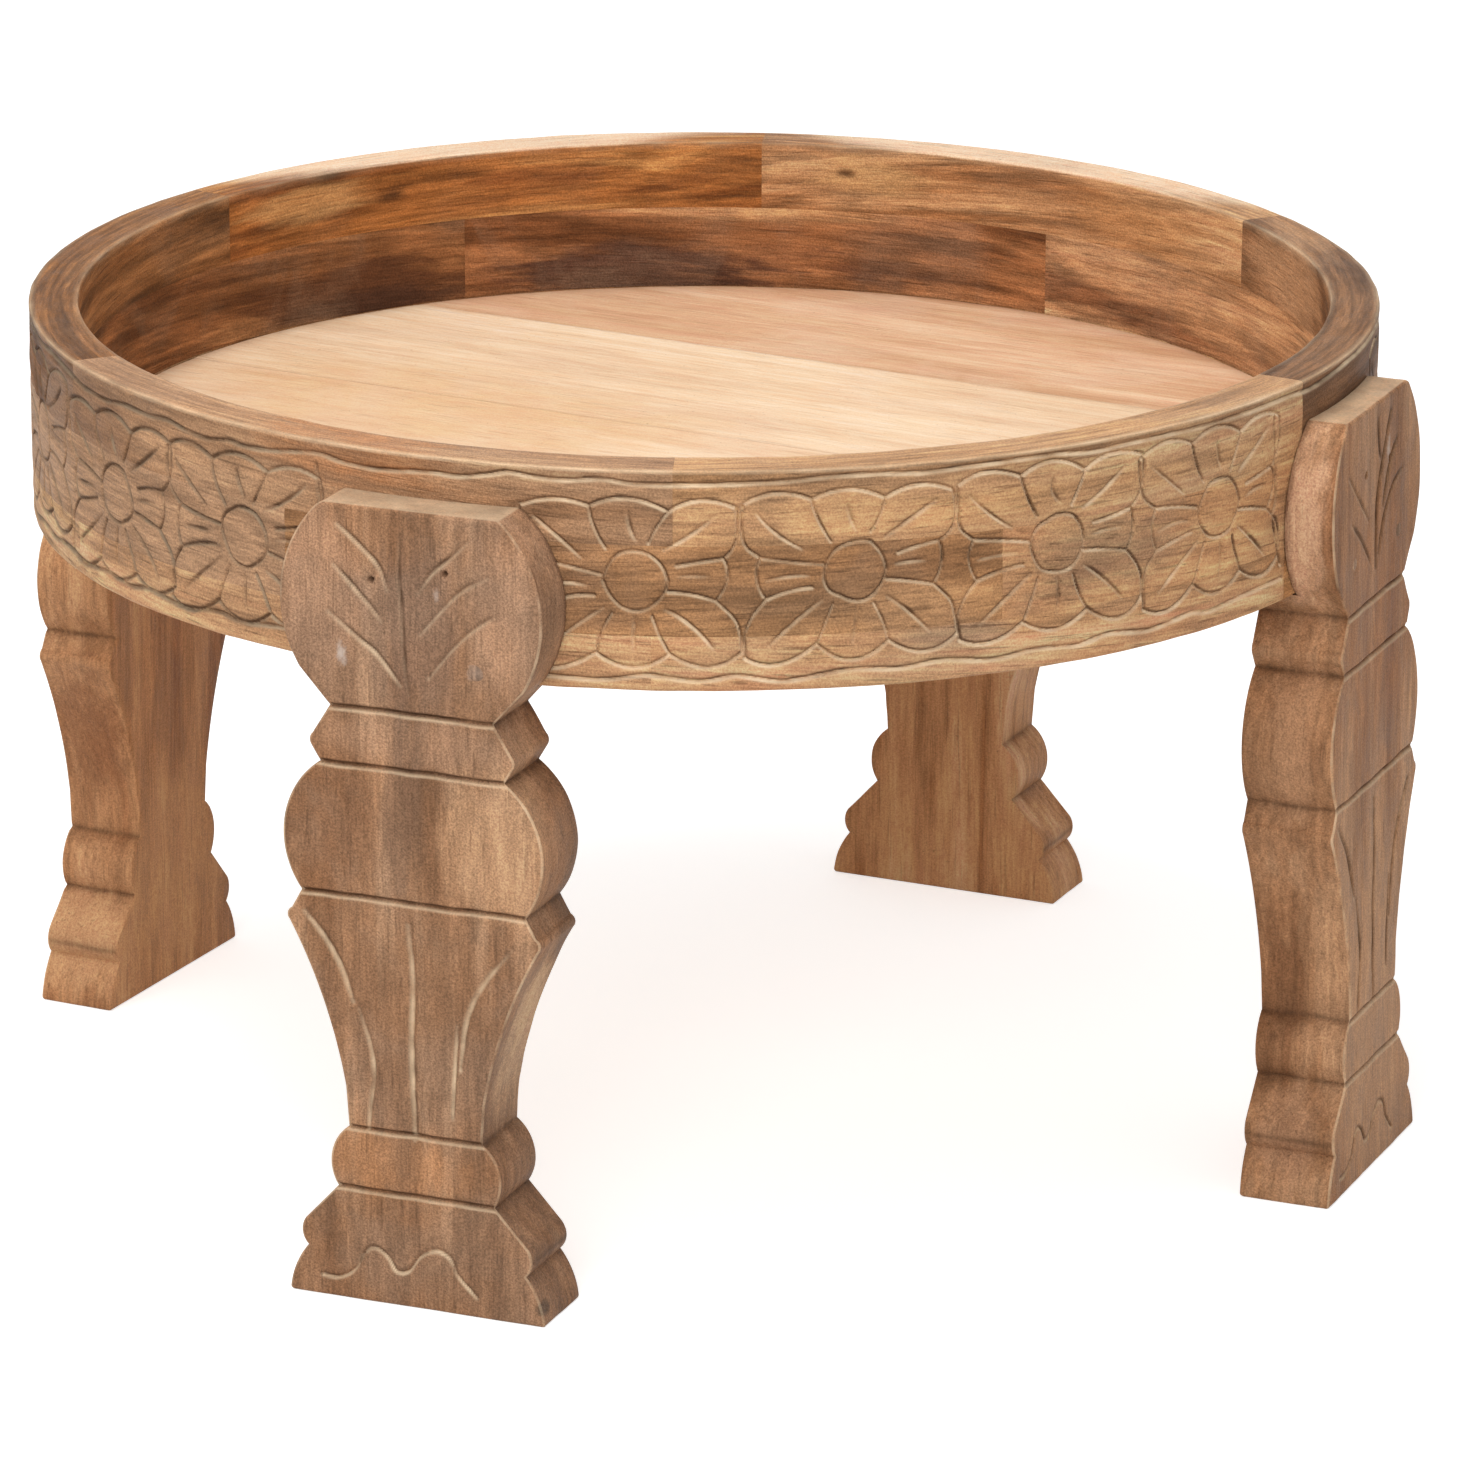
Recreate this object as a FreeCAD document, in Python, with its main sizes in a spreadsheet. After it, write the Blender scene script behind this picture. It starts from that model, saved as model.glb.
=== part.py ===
import FreeCAD, Part
import math
import os
import Sketcher

# Round bajot low table with a deep tray rim on four cut-out plank legs
# Lengths are millimetres and angles are degrees
# The table stands on z = 0, its round rim is centred on the z axis, and
# the front leg looks along -y

V = FreeCAD.Vector

# Driving dimensions, written into the sheet named Sizes
SIZES = {
    # Round rim: three courses of glued curved blocks
    "rim_radius": 325.0,
    "rim_wall": 24.5,
    "rim_bottom_height": 297.0,
    "base_course_height": 26.0,
    "middle_course_height": 42.0,
    "top_course_height": 35.0,
    "rim_top_arris": 1.6,
    "rim_bottom_arris": 2.5,
    "top_course_angle": -7.5,
    "middle_course_angle": 18.5,
    "base_course_angle": -10.0,
    # Tray floor: boards glued edge to edge, laid on the ledge of the base course
    "tray_thickness": 16.0,
    "tray_ledge_width": 15.0,
    "tray_edge_gap": 0.6,
    "tray_grain_angle": -4.6,
    # Legs: one thick plank each, hollowed behind the head to fit the rim
    "leg_width": 128.0,
    "head_rise": 83.0,
    "head_seat_gap": 0.3,
    "neck_groove_width": 3.4,
    "neck_groove_depth": 2.6,
    # How far each leg is turned from its quarter, how thick its plank is, and how
    # far its face stands outside the rim down at the foot and up at the top
    "front_leg_angle": 2.0,
    "right_leg_angle": 1.0,
    "back_leg_angle": -0.8,
    "left_leg_angle": -2.3,
    "front_leg_thickness": 41.0,
    "right_leg_thickness": 45.0,
    "back_leg_thickness": 41.0,
    "left_leg_thickness": 41.0,
    "front_foot_proud": 22.5,
    "right_foot_proud": 25.0,
    "back_foot_proud": 17.5,
    "left_foot_proud": 20.0,
    "front_head_proud": 22.5,
    "right_head_proud": 17.5,
    "back_head_proud": 17.5,
    "left_head_proud": 14.2,
    # Screws through each leg head into the base course, under wooden plugs
    "screw_offset": 32.0,
    "screw_rise": 12.0,
    "screw_length": 30.0,
    "screw_point_length": 7.0,
    "screw_shank_radius": 2.2,
    "screw_head_radius": 4.2,
    "screw_head_height": 3.0,
    "plug_length": 6.0,
    "plug_gap": 0.15,
    # Finishing nails above them, punched under the face of the head
    "nail_offset": 18.0,
    "nail_rise": 52.0,
    "nail_length": 32.0,
    "nail_point_length": 3.0,
    "nail_shank_radius": 1.1,
    "nail_head_radius": 1.5,
    "nail_head_height": 1.6,
    "nail_sink": 3.0,
    # Room round a fastener in its bore, and how far a cut runs past its piece
    "bore_gap": 0.3,
    "cut_overrun": 4.0,
}

FULL_TURN = 360.0
QUARTER_TURN = 90.0

# The legs in the order of their quarters, from the x axis round
LEG_SIDES = ("right", "back", "left", "front")

# How much of the full turn each block of a course takes
BASE_BLOCK_SHARES = (1 / 6, 1 / 6, 1 / 6, 1 / 6, 1 / 6, 1 / 6)
MIDDLE_BLOCK_SHARES = (1 / 6, 1 / 6, 1 / 6, 1 / 6, 1 / 6, 1 / 6)
TOP_BLOCK_SHARES = (0.1625, 0.1597, 0.1625, 0.1732, 0.1732, 0.1689)

# Where the glue lines of the tray boards lie, as shares of the tray's radius
BOARD_JOINT_SHARES = (-0.62, -0.29, 0.04, 0.53)

# Bow of a quarter-round arris, as a share of its chord
ARRIS_BOW_SHARE = math.tan(math.pi / 8) / 2

# How high the necks of a leg lie, as shares of its height: under and over the
# lower bead, under and over the bulb, and over the upper bead
NECK_HEIGHT_SHARES = (0.1442, 0.2224, 0.5158, 0.6803, 0.7513)

# Outline of one leg from its foot up to the top of its head: share of the half
# width, share of the leg's height, and the outward bow of the side that follows
# as a share of that side's chord
LEG_OUTLINE_SHARES = (
    (1.000, 0.0000, 0.078),
    (0.852, 0.0618, 0.185),
    (0.872, 0.0961, 0.000),
    (0.609, NECK_HEIGHT_SHARES[0], 0.202),
    (0.519, NECK_HEIGHT_SHARES[1], 0.000),
    (0.541, 0.2737, -0.041),
    (0.964, 0.4755, 0.261),
    (0.945, 0.4913, 0.000),
    (0.864, NECK_HEIGHT_SHARES[2], 0.213),
    (0.706, NECK_HEIGHT_SHARES[3], 0.000),
    (0.777, 0.6997, 0.182),
    (0.764, 0.7139, 0.000),
    (0.625, NECK_HEIGHT_SHARES[4], 0.000),
    (0.859, 0.7947, 0.178),
    (0.6875, 1.0000, 0.000),
)


class Size:
    """A size with its value and its formula over the sheet's cells."""

    def __init__(self, value, text):
        self.value = value
        self.text = text

    def __add__(self, other):
        return Size(self.value + other.value, f"({self.text} + {other.text})")

    def __sub__(self, other):
        return Size(self.value - other.value, f"({self.text} - {other.text})")

    def __neg__(self):
        return Size(-self.value, f"(-1 * {self.text})")

    def __mul__(self, share):
        return Size(self.value * share, f"({self.text} * {share:.9f})")

    def part_of(self, share, whole):
        """This size times the share that one size has in another."""
        text = f"({self.text} * {share.text} / {whole.text})"
        return Size(self.value * share.value / whole.value, text)


ZERO = Size(0.0, "0")


def span_between(start, end):
    """The straight distance from one corner to another."""
    across = end[0] - start[0]
    along = end[1] - start[1]
    text = f"sqrt(({across.text}) ^ 2 + ({along.text}) ^ 2)"
    return Size(math.hypot(across.value, along.value), text)


def make_sheet(doc):
    """The sheet that holds every driving dimension under its own alias."""
    sheet = doc.addObject("Spreadsheet::Sheet", "Sizes")
    for row, (alias, value) in enumerate(SIZES.items(), start=1):
        sheet.set(f"A{row}", alias)
        sheet.set(f"B{row}", str(value))
        sheet.setAlias(f"B{row}", alias)
    doc.recompute()
    return sheet


class Table:
    """The sizes that several pieces share, read from the sheet."""

    def __init__(self, doc, sheet):
        self.doc = doc
        self.sheet = sheet
        base_height = self.size("base_course_height")
        self.rim_inner = self.size("rim_radius") - self.size("rim_wall")
        self.middle_bottom = self.size("rim_bottom_height") + base_height
        self.top_bottom = self.middle_bottom + self.size("middle_course_height")
        self.ledge_height = base_height - self.size("tray_thickness")
        self.tray_radius = self.rim_inner - self.size("tray_edge_gap")
        self.leg_height = self.size("rim_bottom_height") + self.size("head_rise")
        self.screw_height = self.size("rim_bottom_height") + self.size("screw_rise")
        self.screw_bore = self.size("screw_shank_radius") + self.size("bore_gap")
        self.head_bore = self.size("screw_head_radius") + self.size("bore_gap")
        self.nail_height = self.size("rim_bottom_height") + self.size("nail_rise")
        self.nail_bore = self.size("nail_head_radius") + self.size("bore_gap")
        self.legs = [LegPlace(self, quarter, side) for quarter, side in enumerate(LEG_SIDES)]

    def size(self, alias):
        """One driving dimension with its formula."""
        return Size(float(self.sheet.get(alias)), f"Sizes.{alias}")


class LegPlace:
    """How one leg stands: its angle round the table and the lean of its face."""

    def __init__(self, table, quarter, side):
        quarters = Size(quarter * QUARTER_TURN, f"{quarter * QUARTER_TURN}")
        self.name = f"leg_{side}"
        self.angle = quarters + table.size(f"{side}_leg_angle")
        self.height = table.leg_height
        self.thickness = table.size(f"{side}_leg_thickness")
        self.foot_face = table.size("rim_radius") + table.size(f"{side}_foot_proud")
        self.inset = table.size(f"{side}_foot_proud") - table.size(f"{side}_head_proud")
        lean = math.degrees(math.atan(self.inset.value / self.height.value))
        self.lean = Size(lean, f"atan({self.inset.text} / {self.height.text})")

    def face_at(self, height):
        """How far from the table's axis the face stands at a height."""
        return self.foot_face - self.inset.part_of(height, self.height)


def origin_plane(body, role):
    """One of the body's own origin planes."""
    found = [item for item in body.Origin.OriginFeatures if item.Role == role]
    return found[0]


def new_sketch(body, name, role, offset=ZERO):
    """A sketch on an origin plane of its body, moved along the plane's normal."""
    sketch = body.newObject("Sketcher::SketchObject", name)
    sketch.AttachmentSupport = [(origin_plane(body, role), "")]
    sketch.MapMode = "FlatFace"
    sketch.AttachmentOffset = FreeCAD.Placement(V(0, 0, offset.value), FreeCAD.Rotation())
    sketch.setExpression("AttachmentOffset.Base.z", offset.text)
    return sketch


def bow_arc(start, end, bow):
    """The arc from start to end that bows out to the right by a share of its chord."""
    chord = (end - start).Length
    along = (end - start) / chord
    right = V(along.y, -along.x, 0)
    radius = chord * (1 + 4 * bow * bow) / (8 * abs(bow))
    centre = (start + end) / 2 + right * (bow * chord - math.copysign(radius, bow))
    first, last = (start, end) if bow > 0 else (end, start)
    first_angle = math.atan2(first.y - centre.y, first.x - centre.x)
    last_angle = math.atan2(last.y - centre.y, last.x - centre.x)
    if last_angle < first_angle:
        last_angle += 2 * math.pi
    circle = Part.Circle(centre, V(0, 0, 1), radius)
    return Part.ArcOfCircle(circle, first_angle, last_angle)


def pin_corner(sketch, edge, end, corner):
    """Ties one end of an edge to its corner by two driven distances."""
    for kind, axis, size in (("DistanceX", -2, corner[0]), ("DistanceY", -1, corner[1])):
        if size.value == 0.0:
            sketch.addConstraint(Sketcher.Constraint("PointOnObject", edge, end, axis))
        else:
            rule = Sketcher.Constraint(kind, -1, 1, edge, end, size.value)
            number = sketch.addConstraint(rule)
            sketch.setExpression(f"Constraints[{number}]", size.text)


def draw_loop(sketch, corners, bows):
    """Draws a closed loop whose side after each corner bows out by its own share."""
    count = len(corners)
    points = [V(across.value, along.value, 0) for across, along in corners]
    ends = []
    for index, bow in enumerate(bows):
        start = points[index]
        end = points[(index + 1) % count]
        if bow == 0:
            number = sketch.addGeometry(Part.LineSegment(start, end), False)
            ends.append((number, 1, 2))
        else:
            number = sketch.addGeometry(bow_arc(start, end, bow), False)
            ends.append((number, 1, 2) if bow > 0 else (number, 2, 1))
    for index, (number, _, end) in enumerate(ends):
        following, start, _ = ends[(index + 1) % count]
        sketch.addConstraint(Sketcher.Constraint("Coincident", number, end, following, start))
    for (number, start, _), corner in zip(ends, corners):
        pin_corner(sketch, number, start, corner)
    for index, bow in enumerate(bows):
        if bow == 0:
            continue
        chord = span_between(corners[index], corners[(index + 1) % count])
        radius = chord * ((1 + 4 * bow * bow) / (8 * abs(bow)))
        rule = Sketcher.Constraint("Radius", ends[index][0], radius.value)
        number = sketch.addConstraint(rule)
        sketch.setExpression(f"Constraints[{number}]", radius.text)


def draw_circle(sketch, centre, radius):
    """Draws one circle whose centre and radius are driven."""
    middle = V(centre[0].value, centre[1].value, 0)
    number = sketch.addGeometry(Part.Circle(middle, V(0, 0, 1), radius.value), False)
    if centre[0].value == 0.0 and centre[1].value == 0.0:
        sketch.addConstraint(Sketcher.Constraint("Coincident", number, 3, -1, 1))
    else:
        pin_corner(sketch, number, 3, centre)
    rule = sketch.addConstraint(Sketcher.Constraint("Radius", number, radius.value))
    sketch.setExpression(f"Constraints[{rule}]", radius.text)


def add_feature(body, kind, name, sketch, length=None):
    """A PartDesign feature on a sketch, with a driven length where it has one."""
    feature = body.newObject(kind, name)
    feature.Profile = sketch
    if length is not None:
        feature.setExpression("Length", length.text)
    body.Tip = feature
    return feature


def turn_about_axis(piece, angle):
    """Turns a whole piece about the table's upright axis by a driven angle."""
    upright = FreeCAD.Rotation(V(0, 0, 1), angle.value)
    piece.Placement = FreeCAD.Placement(piece.Placement.Base, upright)
    piece.setExpression("Placement.Rotation.Angle", angle.text)


def top_section(table):
    """Section of a top block: the rim's flat top between two rounded arrises."""
    inner = table.rim_inner
    outer = table.size("rim_radius")
    height = table.top_bottom + table.size("top_course_height")
    arris = table.size("rim_top_arris")
    corners = [
        (inner, table.top_bottom),
        (outer, table.top_bottom),
        (outer, height - arris),
        (outer - arris, height),
        (inner + arris, height),
        (inner, height - arris),
    ]
    return corners, (0, 0, ARRIS_BOW_SHARE, 0, ARRIS_BOW_SHARE, 0)


def middle_section(table):
    """Section of a middle block: a plain upright rectangle."""
    outer = table.size("rim_radius")
    corners = [
        (table.rim_inner, table.middle_bottom),
        (outer, table.middle_bottom),
        (outer, table.top_bottom),
        (table.rim_inner, table.top_bottom),
    ]
    return corners, (0, 0, 0, 0)


def base_section(table):
    """Section of a base block: rebated inside, so that a ledge holds the tray."""
    bottom = table.size("rim_bottom_height")
    outer = table.size("rim_radius")
    arris = table.size("rim_bottom_arris")
    ledge_inner = table.rim_inner - table.size("tray_ledge_width")
    ledge_top = bottom + table.ledge_height
    corners = [
        (ledge_inner, bottom),
        (outer - arris, bottom),
        (outer, bottom + arris),
        (outer, table.middle_bottom),
        (table.rim_inner, table.middle_bottom),
        (table.rim_inner, ledge_top),
        (ledge_inner, ledge_top),
    ]
    return corners, (0, ARRIS_BOW_SHARE, 0, 0, 0, 0, 0)


def fastener_places(table, sink, offset, height):
    """Where each leg's pair of fasteners starts: placements that look inwards."""
    places = []
    for leg in table.legs:
        turn = FreeCAD.Placement(V(0, 0, 0), FreeCAD.Rotation(V(0, 0, 1), leg.angle.value))
        start = leg.face_at(height) - sink
        for side in (-1, 1):
            place = V(start.value, side * offset.value, height.value)
            places.append(turn.multiply(FreeCAD.Placement(place, FreeCAD.Rotation())))
    return places


def bore_rod(table, name, place, radius, length):
    """A rod that cuts a fastener's bore: it runs inwards from its start."""
    rod = table.doc.addObject("Part::Cylinder", name)
    rod.setExpression("Radius", radius.text)
    rod.setExpression("Height", length.text)
    inwards = FreeCAD.Placement(V(0, 0, 0), FreeCAD.Rotation(V(0, 1, 0), -QUARTER_TURN))
    rod.Placement = place.multiply(inwards)
    return rod


def near_segment(angle, width, segment_start, segment_angle):
    """Whether a bore at an angle, with its width in degrees, meets a segment."""
    past_start = (angle - segment_start + width) % FULL_TURN
    return past_start < segment_angle + 2 * width


def build_course(table, course, section, shares, rods, rod_radius):
    """One course of the rim: curved blocks end to end, bored where fasteners pass."""
    corners, bows = section
    turned = 0.0
    pieces = []
    for number, share in enumerate(shares, start=1):
        label = f"rim_{course}_segment_{number}"
        segment = FULL_TURN * share
        body = table.doc.addObject("PartDesign::Body", f"{label}_block")
        sketch = new_sketch(body, f"{label}_section", "XZ_Plane")
        draw_loop(sketch, corners, bows)
        sweep = add_feature(body, "PartDesign::Revolution", f"{label}_sweep", sketch)
        sweep.ReferenceAxis = (sketch, ["V_Axis"])
        sweep.Angle = segment
        angle = table.size(f"{course}_course_angle") + Size(turned, f"{turned:.9f}")
        turned += segment
        turn_about_axis(body, angle)
        crossing = []
        for rod in rods:
            middle = rod.Placement.multVec(V(0, 0, rod.Height.Value))
            rod_angle = math.degrees(math.atan2(middle.y, middle.x))
            reach = math.hypot(middle.x, middle.y)
            width = math.degrees(math.asin(2 * rod_radius.value / reach))
            if near_segment(rod_angle, width, angle.value, segment):
                crossing.append(rod)
        pieces.append(bored(table, body, label, crossing))
    return pieces


def bored(table, body, label, rods):
    """The block itself, or the block with its fasteners' bores cut out."""
    if not rods:
        body.Label = label
        return body
    tool = rods[0]
    if len(rods) > 1:
        tool = table.doc.addObject("Part::MultiFuse", f"{label}_bores")
        tool.Shapes = rods
    cut = table.doc.addObject("Part::Cut", label)
    cut.Base = body
    cut.Tool = tool
    cut.Label = label
    return cut


def build_rim(table):
    """The three courses of the rim, laid so that no upright joints meet."""
    depth = table.size("screw_length") + table.size("bore_gap")
    screw_places = fastener_places(
        table, table.size("plug_length"), table.size("screw_offset"), table.screw_height
    )
    screw_rods = [
        bore_rod(table, f"screw_rod_{number}", place, table.screw_bore, depth)
        for number, place in enumerate(screw_places, start=1)
    ]
    depth = table.size("nail_length") + table.size("bore_gap")
    nail_radius = table.size("nail_shank_radius") + table.size("bore_gap")
    nail_places = fastener_places(
        table, table.size("nail_sink"), table.size("nail_offset"), table.nail_height
    )
    nail_rods = [
        bore_rod(table, f"nail_rod_{number}", place, nail_radius, depth)
        for number, place in enumerate(nail_places, start=1)
    ]
    table.doc.recompute()
    section = base_section(table)
    pieces = build_course(table, "base", section, BASE_BLOCK_SHARES, screw_rods, table.screw_bore)
    section = middle_section(table)
    pieces += build_course(table, "middle", section, MIDDLE_BLOCK_SHARES, nail_rods, nail_radius)
    pieces += build_course(table, "top", top_section(table), TOP_BLOCK_SHARES, [], nail_radius)
    return pieces


def build_tray_boards(table):
    """The tray floor: boards glued edge to edge and cut round to fit the rebate."""
    disc = table.doc.addObject("Part::Cylinder", "tray_disc")
    disc.setExpression("Radius", table.tray_radius.text)
    disc.setExpression("Height", table.size("tray_thickness").text)
    reach = table.tray_radius + table.size("cut_overrun")
    joints = [-reach]
    joints += [table.tray_radius * share for share in BOARD_JOINT_SHARES]
    joints.append(reach)
    base_height = table.size("rim_bottom_height") + table.ledge_height
    pieces = []
    for number, (near, far) in enumerate(zip(joints, joints[1:]), start=1):
        strip = table.doc.addObject("Part::Box", f"tray_strip_{number}")
        strip.setExpression("Length", (reach + reach).text)
        strip.setExpression("Width", (far - near).text)
        strip.setExpression("Height", table.size("tray_thickness").text)
        strip.setExpression("Placement.Base.x", (-reach).text)
        strip.setExpression("Placement.Base.y", near.text)
        board = table.doc.addObject("Part::Common", f"tray_board_{number}")
        board.Base = disc
        board.Tool = strip
        board.Placement = FreeCAD.Placement(V(0, 0, base_height.value), FreeCAD.Rotation())
        turn_about_axis(board, table.size("tray_grain_angle"))
        board.setExpression("Placement.Base.z", base_height.text)
        pieces.append(board)
    return pieces


def leg_outline(table):
    """Corners and bows of a whole leg: up its right side and down its left."""
    half = table.size("leg_width") * 0.5
    height = table.leg_height
    right = [(half * width, height * rise) for width, rise, _ in LEG_OUTLINE_SHARES]
    left = [(-across, along) for across, along in reversed(right)]
    bows = [bow for _, _, bow in LEG_OUTLINE_SHARES]
    return right + left, bows + list(reversed(bows[:-1])) + [0]


def cut_neck_grooves(table, body, leg):
    """Cuts a V groove straight across the outer face at each neck."""
    half = table.size("neck_groove_width") * 0.5
    sketch = new_sketch(body, f"{leg.name}_groove_section", "XZ_Plane")
    for share in NECK_HEIGHT_SHARES:
        height = table.leg_height * share
        bottom = leg.face_at(height) - table.size("neck_groove_depth")
        ends = [(leg.face_at(end), end) for end in (height - half, height + half)]
        draw_loop(sketch, ends + [(bottom, height)], (0, 0, 0))
    reach = table.size("leg_width") + table.size("cut_overrun")
    grooves = add_feature(body, "PartDesign::Pocket", f"{leg.name}_grooves", sketch, reach)
    grooves.Midplane = True


def cut_bores(table, body, leg, kind, height, offset, radius, depth):
    """Bores a pair of level holes into the outer face of the head."""
    name = f"{leg.name}_{kind}"
    clear = table.size("cut_overrun")
    sketch = new_sketch(body, f"{name}_plan", "YZ_Plane", leg.face_at(height) + clear)
    for across in (-offset, offset):
        draw_circle(sketch, (across, height), radius)
    add_feature(body, "PartDesign::Pocket", name, sketch, depth + clear)


def build_leg(table, leg):
    """One leg: the cut-out plank, hollowed behind its head to sit under the rim."""
    body = table.doc.addObject("PartDesign::Body", leg.name)
    outline = new_sketch(body, f"{leg.name}_outline", "YZ_Plane", leg.foot_face)
    lean_inwards = FreeCAD.Rotation(V(-1, 0, 0), leg.lean.value)
    outline.AttachmentOffset = FreeCAD.Placement(V(0, 0, leg.foot_face.value), lean_inwards)
    outline.setExpression("AttachmentOffset.Rotation.Angle", leg.lean.text)
    draw_loop(outline, *leg_outline(table))
    plank = add_feature(body, "PartDesign::Pad", f"{leg.name}_plank", outline, leg.thickness)
    plank.Reversed = True
    floor = new_sketch(body, f"{leg.name}_floor_circle", "XY_Plane")
    draw_circle(floor, (ZERO, ZERO), table.size("rim_radius") + leg.thickness)
    overrun = table.size("cut_overrun")
    add_feature(body, "PartDesign::Pocket", f"{leg.name}_foot_cut", floor, overrun)
    rim_bottom = table.size("rim_bottom_height")
    seat = new_sketch(body, f"{leg.name}_seat_circle", "XY_Plane", rim_bottom)
    draw_circle(seat, (ZERO, ZERO), table.size("rim_radius") + table.size("head_seat_gap"))
    rise = table.size("head_rise") + overrun
    hollow = add_feature(body, "PartDesign::Pocket", f"{leg.name}_seat", seat, rise)
    hollow.Reversed = True
    cut_neck_grooves(table, body, leg)
    height = table.screw_height
    offset = table.size("screw_offset")
    depth = table.size("plug_length") + table.size("screw_head_height")
    cut_bores(table, body, leg, "counterbores", height, offset, table.head_bore, depth)
    depth = table.size("plug_length") + table.size("screw_length")
    cut_bores(table, body, leg, "screw_bores", height, offset, table.screw_bore, depth)
    height = table.nail_height
    offset = table.size("nail_offset")
    depth = table.size("nail_sink") + table.size("nail_head_height")
    cut_bores(table, body, leg, "nail_heads", height, offset, table.nail_bore, depth)
    depth = table.size("nail_sink") + table.size("nail_length")
    radius = table.size("nail_shank_radius") + table.size("bore_gap")
    cut_bores(table, body, leg, "nail_bores", height, offset, radius, depth)
    turn_about_axis(body, leg.angle)
    return body


def fastener_body(table, name, length, point, shank, head, head_height):
    """One turned fastener along -x, with the top of its head at the origin."""
    body = table.doc.addObject("PartDesign::Body", name)
    sketch = new_sketch(body, f"{name}_section", "XZ_Plane")
    corners = [
        (ZERO, ZERO),
        (ZERO, head),
        (-head_height, head),
        (-head_height, shank),
        (point - length, shank),
        (-length, ZERO),
    ]
    draw_loop(sketch, corners, (0, 0, 0, 0, 0, 0))
    turned = add_feature(body, "PartDesign::Revolution", f"{name}_turned", sketch)
    turned.ReferenceAxis = (sketch, ["H_Axis"])
    turned.Angle = FULL_TURN
    return body


def fastener_group(table, label, pattern, places):
    """All copies of one fastener as a group of separate solids."""
    group = table.doc.addObject("Part::Feature", label)
    copies = [pattern.Shape.transformed(place.toMatrix()) for place in places]
    group.Shape = Part.makeCompound(copies)
    return group


def build_fasteners(table):
    """The screws, their wooden plugs and the finishing nails of all four legs."""
    screw = fastener_body(
        table,
        "screw_pattern",
        table.size("screw_length"),
        table.size("screw_point_length"),
        table.size("screw_shank_radius"),
        table.size("screw_head_radius"),
        table.size("screw_head_height"),
    )
    nail = fastener_body(
        table,
        "nail_pattern",
        table.size("nail_length"),
        table.size("nail_point_length"),
        table.size("nail_shank_radius"),
        table.size("nail_head_radius"),
        table.size("nail_head_height"),
    )
    plug = table.doc.addObject("PartDesign::Body", "plug_pattern")
    sketch = new_sketch(plug, "plug_circle", "YZ_Plane")
    draw_circle(sketch, (ZERO, ZERO), table.head_bore - table.size("plug_gap"))
    add_feature(plug, "PartDesign::Pad", "plug_rod", sketch, table.size("plug_length"))
    table.doc.recompute()
    screw_places = fastener_places(
        table, table.size("plug_length"), table.size("screw_offset"), table.screw_height
    )
    nail_places = fastener_places(
        table, table.size("nail_sink"), table.size("nail_offset"), table.nail_height
    )
    return [
        fastener_group(table, "leg_screws", screw, screw_places),
        fastener_group(table, "screw_plugs", plug, screw_places),
        fastener_group(table, "leg_nails", nail, nail_places),
    ]


def check_pieces(doc, pieces):
    """Stops the build if any object failed or any piece is not a sound solid."""
    for item in doc.Objects:
        if "Invalid" in item.State or "Error" in item.State:
            raise RuntimeError(f"{item.Label} failed: {item.State}")
    for piece in pieces:
        if piece.Shape.isNull() or not piece.Shape.isValid() or not piece.Shape.Solids:
            raise RuntimeError(f"{piece.Label} has no sound solid")


def main():
    """Builds the table and writes one file for each piece."""
    doc = FreeCAD.newDocument("bajot_low_table")
    table = Table(doc, make_sheet(doc))
    pieces = build_rim(table)
    pieces += build_tray_boards(table)
    pieces += [build_leg(table, leg) for leg in table.legs]
    pieces += build_fasteners(table)
    doc.recompute()
    check_pieces(doc, pieces)
    os.makedirs("parts", exist_ok=True)
    for piece in pieces:
        piece.Shape.exportStep(os.path.join("parts", f"{piece.Label}.step"))
        print(f"{piece.Label}: {len(piece.Shape.Solids)} solid, {piece.Shape.Volume:.0f} mm3")
    whole = Part.makeCompound([piece.Shape for piece in pieces]).optimalBoundingBox(False)
    print(f"{len(pieces)} pieces, {whole.XLength:.1f} x {whole.YLength:.1f} x {whole.ZLength:.1f} mm")


main()
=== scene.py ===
"""Visual model of a round low table: a deep carved rim round a sunken board floor, on four
cut-out plank legs.

Object space is in metres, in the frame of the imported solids: the table stands on z = 0, its
rim is centred on the z axis and its front leg looks along -y. Carving is laid out in
millimetres: across a face to the viewer's right, and up from the floor.
"""
import logging
import math
from dataclasses import dataclass, field, replace
from enum import Enum

import bpy
import numpy as np
from mathutils import Matrix, Vector


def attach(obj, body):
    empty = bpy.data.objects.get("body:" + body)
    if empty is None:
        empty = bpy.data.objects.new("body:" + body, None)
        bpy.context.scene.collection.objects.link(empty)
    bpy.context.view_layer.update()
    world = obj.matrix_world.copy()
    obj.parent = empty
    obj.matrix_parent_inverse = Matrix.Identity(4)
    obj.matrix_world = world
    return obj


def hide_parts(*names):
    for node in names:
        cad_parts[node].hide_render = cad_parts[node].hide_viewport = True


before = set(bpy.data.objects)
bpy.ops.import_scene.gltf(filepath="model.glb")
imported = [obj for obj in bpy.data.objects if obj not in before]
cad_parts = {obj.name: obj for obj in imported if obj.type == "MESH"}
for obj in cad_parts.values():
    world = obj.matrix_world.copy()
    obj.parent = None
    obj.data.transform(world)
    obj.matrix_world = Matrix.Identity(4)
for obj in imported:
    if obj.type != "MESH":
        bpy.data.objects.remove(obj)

LOG = logging.getLogger("low_table")
MM = 0.001
FULL_TURN = 360.0
RIM_RADIUS = 325.0
RIM_BOTTOM = 297.0
LEG_HEIGHT = 380.0
# Painted masks on the points: rubbed wood with painted highlight, painted shade with grime, and
# chalky filler.
MASKS = ("rub_and_highlight", "shade", "chalk")
Colour = tuple[float, float, float]
Point = tuple[float, float]
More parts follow.
